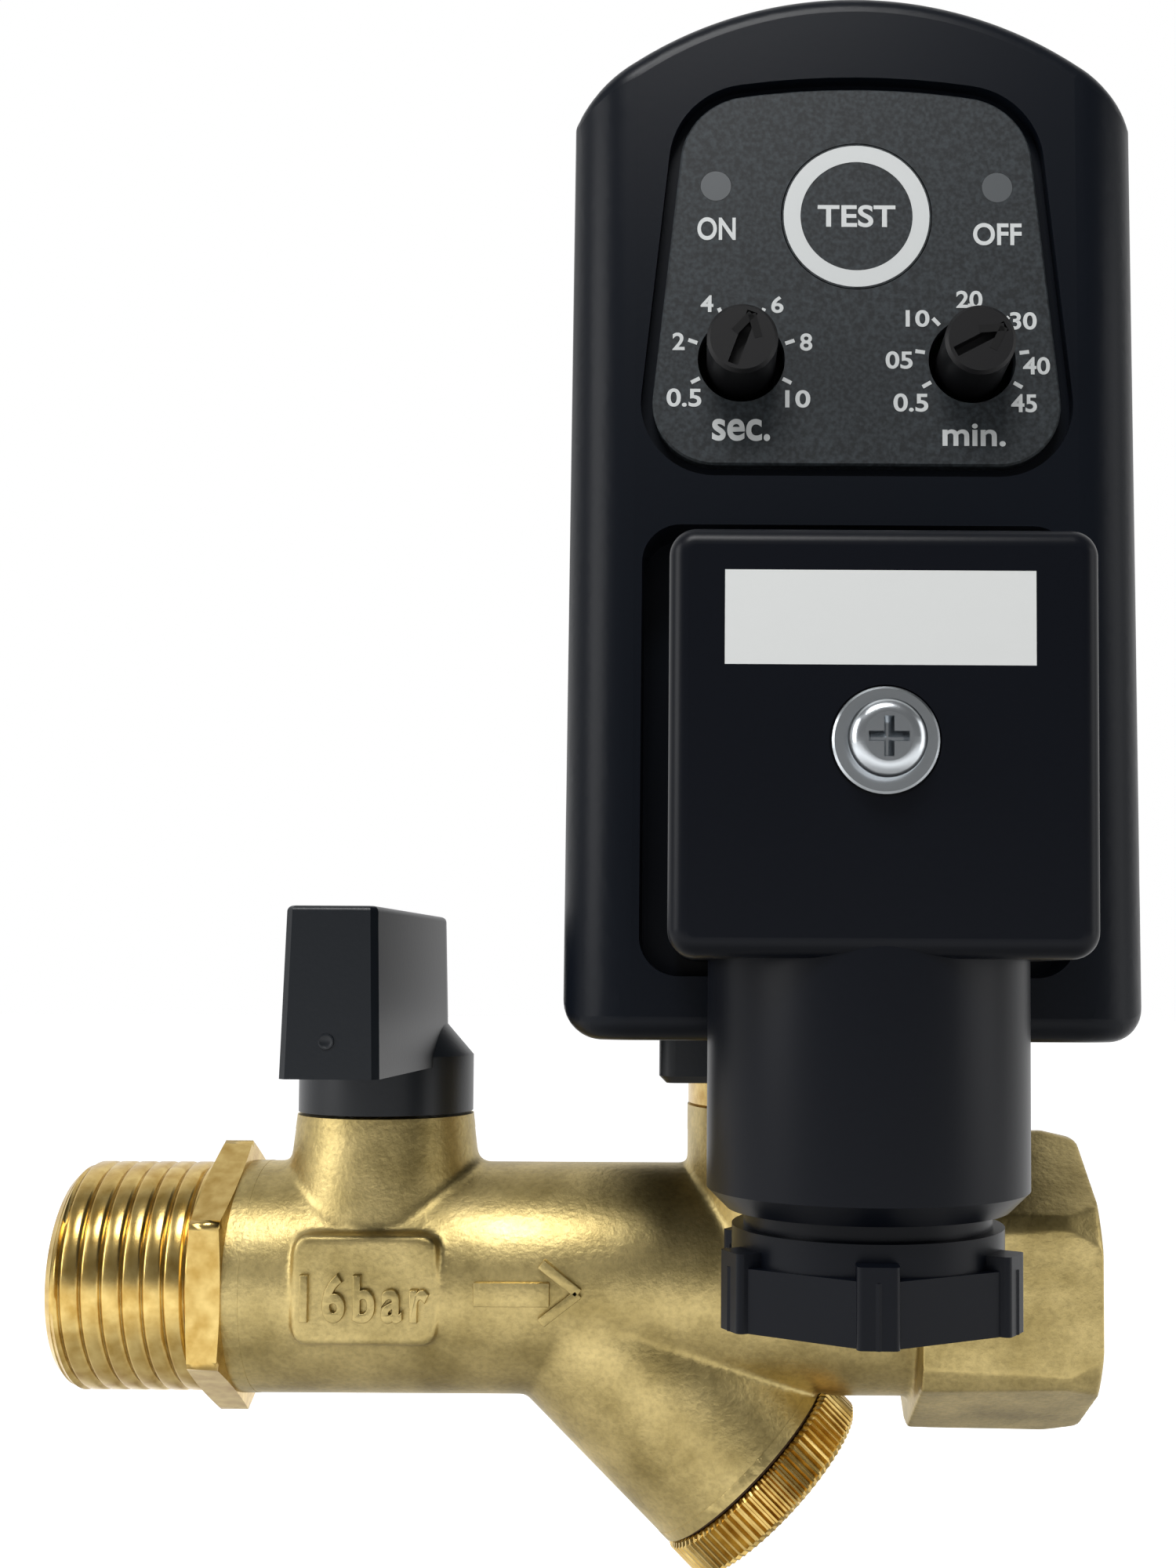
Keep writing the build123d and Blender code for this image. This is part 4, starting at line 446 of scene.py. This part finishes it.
def soften(item, cell, rounds):
    """Rebuilds a piece from cells `cell` millimetres wide and smooths them."""
    cells = item.modifiers.new("cells", "REMESH")
    cells.mode = "VOXEL"
    cells.voxel_size = cell * MM
    cells.use_smooth_shade = True
    smooth = item.modifiers.new("smooth", "SMOOTH")
    smooth.factor = 0.5
    smooth.iterations = rounds


CASTING_END = HEX_START - 0.4
casting = part_of_body(((CASTING_END, 0, 0), (1, 0, 0)))
body = piece("valve_body_casting", casting, cast_brass, "valve", replaces=["valve_body"])
soften(body, BODY_CELL, 8)
outlet = part_of_body(((CASTING_END - HEX_OVERLAP, 0, 0), (-1, 0, 0)))
hexagon = piece("outlet_hexagon", outlet, cast_brass, "valve")
soften(hexagon, HEX_CELL, 4)
sockets = part_of_body(((0, 0, MACHINED_FROM), (0, 0, -1)))
piece("machined_sockets", swollen(sockets, SKIN), cast_brass, "valve")
inlet_face = part_of_body(((INLET_FACE_TO, 0, 0), (1, 0, 0)))
piece("machined_inlet_face", swollen(inlet_face, SKIN), cast_brass, "valve")
away = branch.to_3x3() @ Vector((0, 0, -1))
across = branch.to_3x3() @ Vector((-1, 0, 0))
branch_end = part_of_body(
    (branch @ Vector((0, 0, BRANCH_LENGTH - BRANCH_END_FROM)), away),
    (branch @ Vector((-10.8, 0, 0)), across),
)
piece("machined_branch_end", swollen(branch_end, SKIN), cast_brass, "valve")

# %% [markdown]
# ## Marks raised on the casting
# The pressure rating and the flow arrow are cut into the mould, so they stand up from the metal
# with soft edges. Text is made a mesh first and then put in place, so that its object stays at
# the origin.

# %% Rating and arrow


def lettering(name, text, size, finish, body, place, weight=0.02, round_edge=0.0, gap=1.0):
    """Words as a mesh, stretched about their centre to `size`: width, height and thickness in mm."""
    curve = bpy.data.curves.new(name, "FONT")
    curve.body = text
    curve.offset = weight
    curve.space_character = gap
    curve.extrude = 0.05
    curve.bevel_depth = round_edge
    curve.bevel_resolution = 2
    source = bpy.data.objects.new(name, curve)
    bpy.context.scene.collection.objects.link(source)
    bpy.context.view_layer.update()
    shape = bmesh.new()
    shape.from_mesh(source.to_mesh())
    source.to_mesh_clear()
    bpy.data.objects.remove(source)
    low = Vector(min(v.co[i] for v in shape.verts) for i in range(3))
    high = Vector(max(v.co[i] for v in shape.verts) for i in range(3))
    stretch = [wanted / drawn for wanted, drawn in zip(size, high - low)]
    shape.transform(Matrix.Diagonal((*stretch, 1)) @ Matrix.Translation(-(low + high) / 2))
    bmesh.ops.remove_doubles(shape, verts=shape.verts, dist=1e-4)
    return piece(name, shape, finish, body, place, 40)


def bar(width, height, depth, x, y, z, turn=0.0):
    """A small block, used for strokes. It may be turned about its own depth."""
    mesh = bmesh.new()
    turned_place = Matrix.Translation((x, y, z)) @ Matrix.Rotation(turn, 4, "Z")
    bmesh.ops.create_cube(mesh, size=1, matrix=turned_place @ Matrix.Diagonal((width, height, depth, 1)))
    return mesh


def joined(meshes):
    """Several bmeshes as one."""
    whole = bmesh.new()
    for mesh in meshes:
        data = bpy.data.meshes.new("part")
        mesh.to_mesh(data)
        mesh.free()
        whole.from_mesh(data)
        bpy.data.meshes.remove(data)
    return whole


FRONT = Matrix.Rotation(pi / 2, 4, "X")
PAD_FACE = -11.12
pad_place = Matrix.Translation((28.45, PAD_FACE, 0.03)) @ FRONT
lettering(
    "rating_letters", "16bar", (11.2, 4.26, 1.2), cast_brass, "valve", pad_place,
    weight=0.02, round_edge=0.02, gap=1.3,
)
ARROW_FACE = -10.42
STROKE, DEPTH = 0.9, 1.35
arrow = joined([
    bar(6.6, 2.1, DEPTH, 41.1, 0.3, -0.05),
    bar(4.2, STROKE, DEPTH, 45.3, 1.7, 0, radians(-38)),
    bar(4.2, STROKE, DEPTH, 45.3, -0.85, 0, radians(38)),
])
bmesh.ops.bevel(arrow, geom=arrow.edges[:], offset=0.12, affect="EDGES", segments=2, profile=0.5, material=-1)
arrow_place = Matrix.Translation((0, ARROW_FACE, 0)) @ FRONT
piece("flow_arrow", arrow, cast_brass, "valve", arrow_place)

# %% [markdown]
# ## The knurled strainer cap
# The cap is gripped by hand, so its rim has straight ribs pressed in by a knurling wheel. The
# solid cap's head is made slimmer all round. A circle of points with every other pair drawn in,
# extruded along the axis, then gives ribs with real relief, and drawing in both ends of the
# ribs gives them the cap's chamfers.

# %% Cap ribs
RIBS, RIB_DEPTH = 84, 0.42
CAP_RADIUS, CAP_HEAD, CAP_SEAL = 10.4, 4.1, 0.35
cap = merged_copy("strainer_cap")
cap.transform(branch.inverted())
for vert in cap.verts:
    outward = Vector((vert.co.x, vert.co.y, 0))
    if outward.length > CAP_RADIUS - 0.8:
        vert.co -= outward.normalized() * RIB_DEPTH * 1.2
piece(
    "cap_core", cap, turned_brass, "strainer_insert", branch,
    replaces=["strainer_cap"],
)
ribs = bmesh.new()
bmesh.ops.create_circle(ribs, cap_ends=True, radius=CAP_RADIUS * 0.965, segments=RIBS * 4)
for index, vert in enumerate(ribs.verts):
    if index % 4 in (2, 3):
        vert.co *= 1 - RIB_DEPTH / CAP_RADIUS
section = ribs.faces[:]
for rise, grow in ((0.35, 1 / 0.965), (CAP_HEAD - 0.95, 1.0), (0.45, 0.96)):
    grown = bmesh.ops.extrude_face_region(ribs, geom=section)["geom"]
    ring = [item for item in grown if isinstance(item, bmesh.types.BMVert)]
    section = [item for item in grown if isinstance(item, bmesh.types.BMFace)]
    bmesh.ops.translate(ribs, verts=ring, vec=(0, 0, rise))
    bmesh.ops.scale(ribs, verts=ring, vec=(grow, grow, 1))
head = branch @ Matrix.Translation((0, 0, BRANCH_LENGTH + CAP_SEAL + 0.05))
piece("cap_ribs", ribs, turned_brass, "strainer_insert", head, 25)
print("cap ribs", RIBS)

# %% [markdown]
# ## The dimple on the lever
# The mould's ejector pin leaves a shallow dimple low on the lever's tip. A tiny dish with a
# raised rim, turned about the lever's length, reads as that mark.

# %% Lever dimple
TIP_FACE = -24.8
dish_section = [
    (0, 0.03, 0), (0.3, 0.03, 0), (0.5, 0.12, 0), (0.62, 0.1, 0), (0.7, -0.2, 0), (0, -0.2, 0),
]
dish = turned(dish_section, (0, 1, 0), 32)
piece(
    "lever_dimple", dish, lever_nylon, "ball_rotor",
    Matrix.Translation((27.8, TIP_FACE + 0.07, 22.7)) @ Matrix.Rotation(pi, 4, "Z"),
)

# %% [markdown]
# ## Printing on the panel
# The film is screen-printed white. Each figure, tick and ring is a wafer of ink lying on the
# film, placed in the panel's own flat frame: x across, y up the leaning face.

# %% Rings, ticks, figures and words
LEAN = radians(1.7)
CASE_FRONT, CASE_BOTTOM, AXIS_X = 30.7, 23.1, 69.3
face = Matrix.Translation((AXIS_X, -CASE_FRONT, CASE_BOTTOM)) @ Matrix.Rotation(pi / 2 - LEAN, 4, "X")
FILM_TOP = -0.10
INK = 0.03


def on_film(x, y):
    """A place on the panel's surface."""
    return face @ Matrix.Translation((x, y, FILM_TOP + INK / 2))


DIALS = {"on": (-9.0, 53.1), "off": (9.0, 53.1)}
PRINT = [
    ("on_word", "ON", -10.98, 63.51, 3.0, 1.85), ("off_word", "OFF", 11.04, 63.19, 3.8, 1.8),
    ("sec_word", "sec.", -9.0, 47.35, 4.5, 1.75), ("min_word", "min.", 9.1, 47.05, 4.9, 1.8),
    ("sec_0.5", "0.5", -13.45, 49.9, 2.7, 1.45), ("sec_2", "2", -13.9, 54.4, 0.95, 1.4),
    ("sec_4", "4", -11.7, 57.45, 1.0, 1.35), ("sec_6", "6", -6.2, 57.4, 0.95, 1.35),
    ("sec_8", "8", -3.95, 54.4, 0.95, 1.4), ("sec_10", "10", -4.6, 49.85, 1.95, 1.4),
    ("min_0.5", "0.5", 4.2, 49.6, 2.7, 1.45), ("min_05", "05", 3.3, 53.0, 2.1, 1.4),
    ("min_10", "10", 4.75, 56.35, 1.85, 1.35), ("min_20", "20", 8.8, 57.9, 2.05, 1.4),
    ("min_30", "30", 13.0, 56.2, 2.1, 1.4), ("min_40", "40", 14.0, 52.6, 2.1, 1.4),
    ("min_45", "45", 13.0, 49.6, 2.0, 1.45),
]
for name, text, x, y, width, height in PRINT:
    lettering("print_" + name, text, (width, height, INK), white_ink, "valve", on_film(x, y))
TICK_LONG, TICK_WIDE = 0.75, 0.3
TICKS = {
    "on": (4.0, (117, 71, 24, -24, -71, -117)),
    "off": (4.1, (120, 82, 43, 2, -40, -82, -120)),
}
for dial, (reach, angles) in TICKS.items():
    x, y = DIALS[dial]
    ticks = joined([
        bar(TICK_WIDE, TICK_LONG, INK, x - reach * sin(turn), y + reach * cos(turn), 0, turn)
        for turn in map(radians, angles)
    ])
    piece(f"print_{dial}_ticks", ticks, white_ink, "valve", on_film(0, 0))

# %% [markdown]
# ## Arrowheads on the knobs
# Each knob has a pointer slot across its face. Two short barbs run back from the slot's end, so
# the eye reads an arrow. They are dark because they are recessed, and they turn with the knob.

# %% Knob barbs
BARB_LONG, BARB_WIDE, SLOT_REACH = 1.9, 0.6, 1.95
POINTER_AT_REST = {"on": 20, "off": 62}
for dial, turn in POINTER_AT_REST.items():
    knob = frame["nodes"][dial + "_time_knob"]
    flat = [face.inverted() @ (v.co / MM) for v in knob.data.vertices]
    top = max(v.z for v in flat)
    centre = sum((v for v in flat if v.z > top - 0.01), Vector()) / sum(v.z > top - 0.01 for v in flat)
    barbs = joined([
        bar(
            BARB_WIDE, BARB_LONG, 0.03,
            SLOT_REACH * sin(radians(turn)) - 0.5 * BARB_LONG * sin(radians(turn + spread)),
            SLOT_REACH * cos(radians(turn)) - 0.5 * BARB_LONG * cos(radians(turn + spread)),
            0, -radians(turn + spread),
        )
        for spread in (23, -36)
    ])
    place = face @ Matrix.Translation((centre.x, centre.y, top + 0.005))
    piece(dial + "_knob_barbs", barbs, pointer_shadow, dial + "_dial", place)

# %% [markdown]
# ## The test key
# The key is a round area of the same film with a white ring and the word TEST. Ring and word
# move with the key when it is pressed.

# %% Test ring and word
KEY_HEIGHT = 64.6


def flat_ring(inner, outer, thick):
    """A flat washer about the Z axis."""
    low, high = -thick / 2, thick / 2
    section = [(inner, 0, low), (outer, 0, low), (outer, 0, high), (inner, 0, high), (inner, 0, low)]
    return turned(section, (0, 0, 1))


piece("test_ring", flat_ring(4.4, 5.72, INK), white_ink, "test_key", on_film(0, KEY_HEIGHT))
lettering("test_word", "TEST", (6.1, 1.8, INK), white_ink, "test_key", on_film(0, KEY_HEIGHT))

# %% [markdown]
# ## The blank label
# A white self-adhesive plate lies on the front of the connector. It stays bare here.

# %% Label plate
LABEL_LEFT, LABEL_RIGHT, LABEL_BOTTOM, LABEL_TOP = 58.85, 79.1, 48.25, 54.45
CONNECTOR_FRONT = 49.2
LABEL_THICK, LABEL_SUNK = 0.08, 0.03
label = bar(LABEL_RIGHT - LABEL_LEFT, LABEL_TOP - LABEL_BOTTOM, LABEL_THICK, 0, 0, 0)
label_middle = (
    (LABEL_LEFT + LABEL_RIGHT) / 2, -CONNECTOR_FRONT + LABEL_SUNK, (LABEL_BOTTOM + LABEL_TOP) / 2,
)
piece(
    "front_label", label, label_film, "valve",
    Matrix.Translation(label_middle) @ FRONT,
)

# %% [markdown]
# ## Floor, light and camera
# A product like this is shot on white paper under large soft lamps. The floor is pale and keeps
# the valve's shadow. The room is white behind the valve and dim in front of it, and every kind of
# ray meets it alike, so black plastic stays black and round brass gets a dark side to turn from.

# %% Stage
# Low enough that the strainer cap still hangs clear of it when it is drawn right out.
CAP_DRAWN, FLOOR_GAP = 21.3, 0.2
low = solid_box[0].z / MM
floor_mesh = bmesh.new()
bmesh.ops.create_grid(floor_mesh, x_segments=1, y_segments=1, size=3000)
floor_data = bpy.data.meshes.new("floor")
floor_mesh.transform(Matrix.Scale(MM, 4) @ Matrix.Translation((0, 0, low - CAP_DRAWN - FLOOR_GAP)))
floor_mesh.to_mesh(floor_data)
floor_mesh.free()
floor = bpy.data.objects.new("floor", floor_data)
bpy.context.scene.collection.objects.link(floor)
paper, out = new_material("white_paper_floor")
path = add(paper, "ShaderNodeLightPath").outputs
mirrored = add(
    paper, "ShaderNodeMath", {"operation": "MAXIMUM"},
    _0=path["Is Camera Ray"], _1=path["Is Glossy Ray"],
)
seen = add(
    paper, "ShaderNodeMath", {"operation": "MAXIMUM"},
    _0=mirrored.outputs[0], _1=path["Is Transmission Ray"],
)
matt = add(paper, "ShaderNodeBsdfDiffuse", Color=linear("#c0c0c0"))
slant = add(paper, "ShaderNodeLayerWeight").outputs["Facing"]
sheen = add(paper, "ShaderNodeMapRange", Value=slant, From_Min=0.15, From_Max=0.6, To_Min=0.0, To_Max=0.85)
glow = add(paper, "ShaderNodeEmission", Color=linear("#ffffff"), Strength=sheen.outputs["Result"])
lit = add(paper, "ShaderNodeAddShader", _0=matt.outputs[0], _1=glow.outputs[0])
choice = add(paper, "ShaderNodeMixShader", Fac=seen.outputs[0], _1=matt.outputs[0], _2=lit.outputs[0])
paper.node_tree.links.new(choice.outputs[0], out.inputs[0])
floor_data.materials.append(paper)

world = bpy.data.worlds.new("studio")
bpy.context.scene.world = world
world.use_nodes = True
world.node_tree.nodes.clear()
sky_out = world.node_tree.nodes.new("ShaderNodeOutputWorld")
towards = add(world, "ShaderNodeTexCoord").outputs["Generated"]
depth = add(world, "ShaderNodeSeparateXYZ", Vector=towards).outputs["Y"]
level = add(world, "ShaderNodeMapRange", {"interpolation_type": "SMOOTHSTEP"}, Value=depth)
for name, value in (("From Min", -0.1), ("From Max", 0.6), ("To Min", 0.18), ("To Max", 1.0)):
    level.inputs[name].default_value = value
room = add(world, "ShaderNodeBackground", Color=linear("#ffffff"), Strength=level.outputs["Result"])
world.node_tree.links.new(room.outputs[0], sky_out.inputs[0])


def soft_lamp(name, place, aim, size, power):
    """A large square lamp at a place in millimetres, turned to a point."""
    data = bpy.data.lights.new(name, "AREA")
    data.shape = "RECTANGLE"
    data.size, data.size_y = size[0] * MM, size[1] * MM
    data.energy = power
    lamp = bpy.data.objects.new(name, data)
    bpy.context.scene.collection.objects.link(lamp)
    lamp.location = Vector(place) * MM
    lamp.rotation_euler = (Vector(aim) - Vector(place)).to_track_quat("-Z", "Y").to_euler()
    print(name, power, "W")


soft_lamp("lamp_left", (-330, -180, 180), (50, 0, 40), (200, 300), 0.95)
soft_lamp("lamp_right", (450, -120, 120), (60, 0, 40), (200, 300), 0.35)
soft_lamp("lamp_top", (10, -250, 380), (50, 0, 10), (200, 110), 1.3)

# %% Camera
camera_data = bpy.data.cameras.new("camera")
camera = bpy.data.objects.new("camera", camera_data)
bpy.context.scene.collection.objects.link(camera)
camera_data.sensor_width = 36
camera_data.lens = 37.72476
camera_data.shift_x = -0.0721
camera_data.shift_y = 0.0761
camera_data.clip_start = 0.01
camera.location = Vector((57.40, -155.02, 27.82)) * MM
camera_turn = Matrix.Rotation(radians(92.63), 4, "X") @ Matrix.Rotation(radians(0.32), 4, "Z")
camera.rotation_euler = camera_turn.to_euler()
bpy.context.scene.camera = camera
bpy.context.scene.view_settings.view_transform = "Standard"
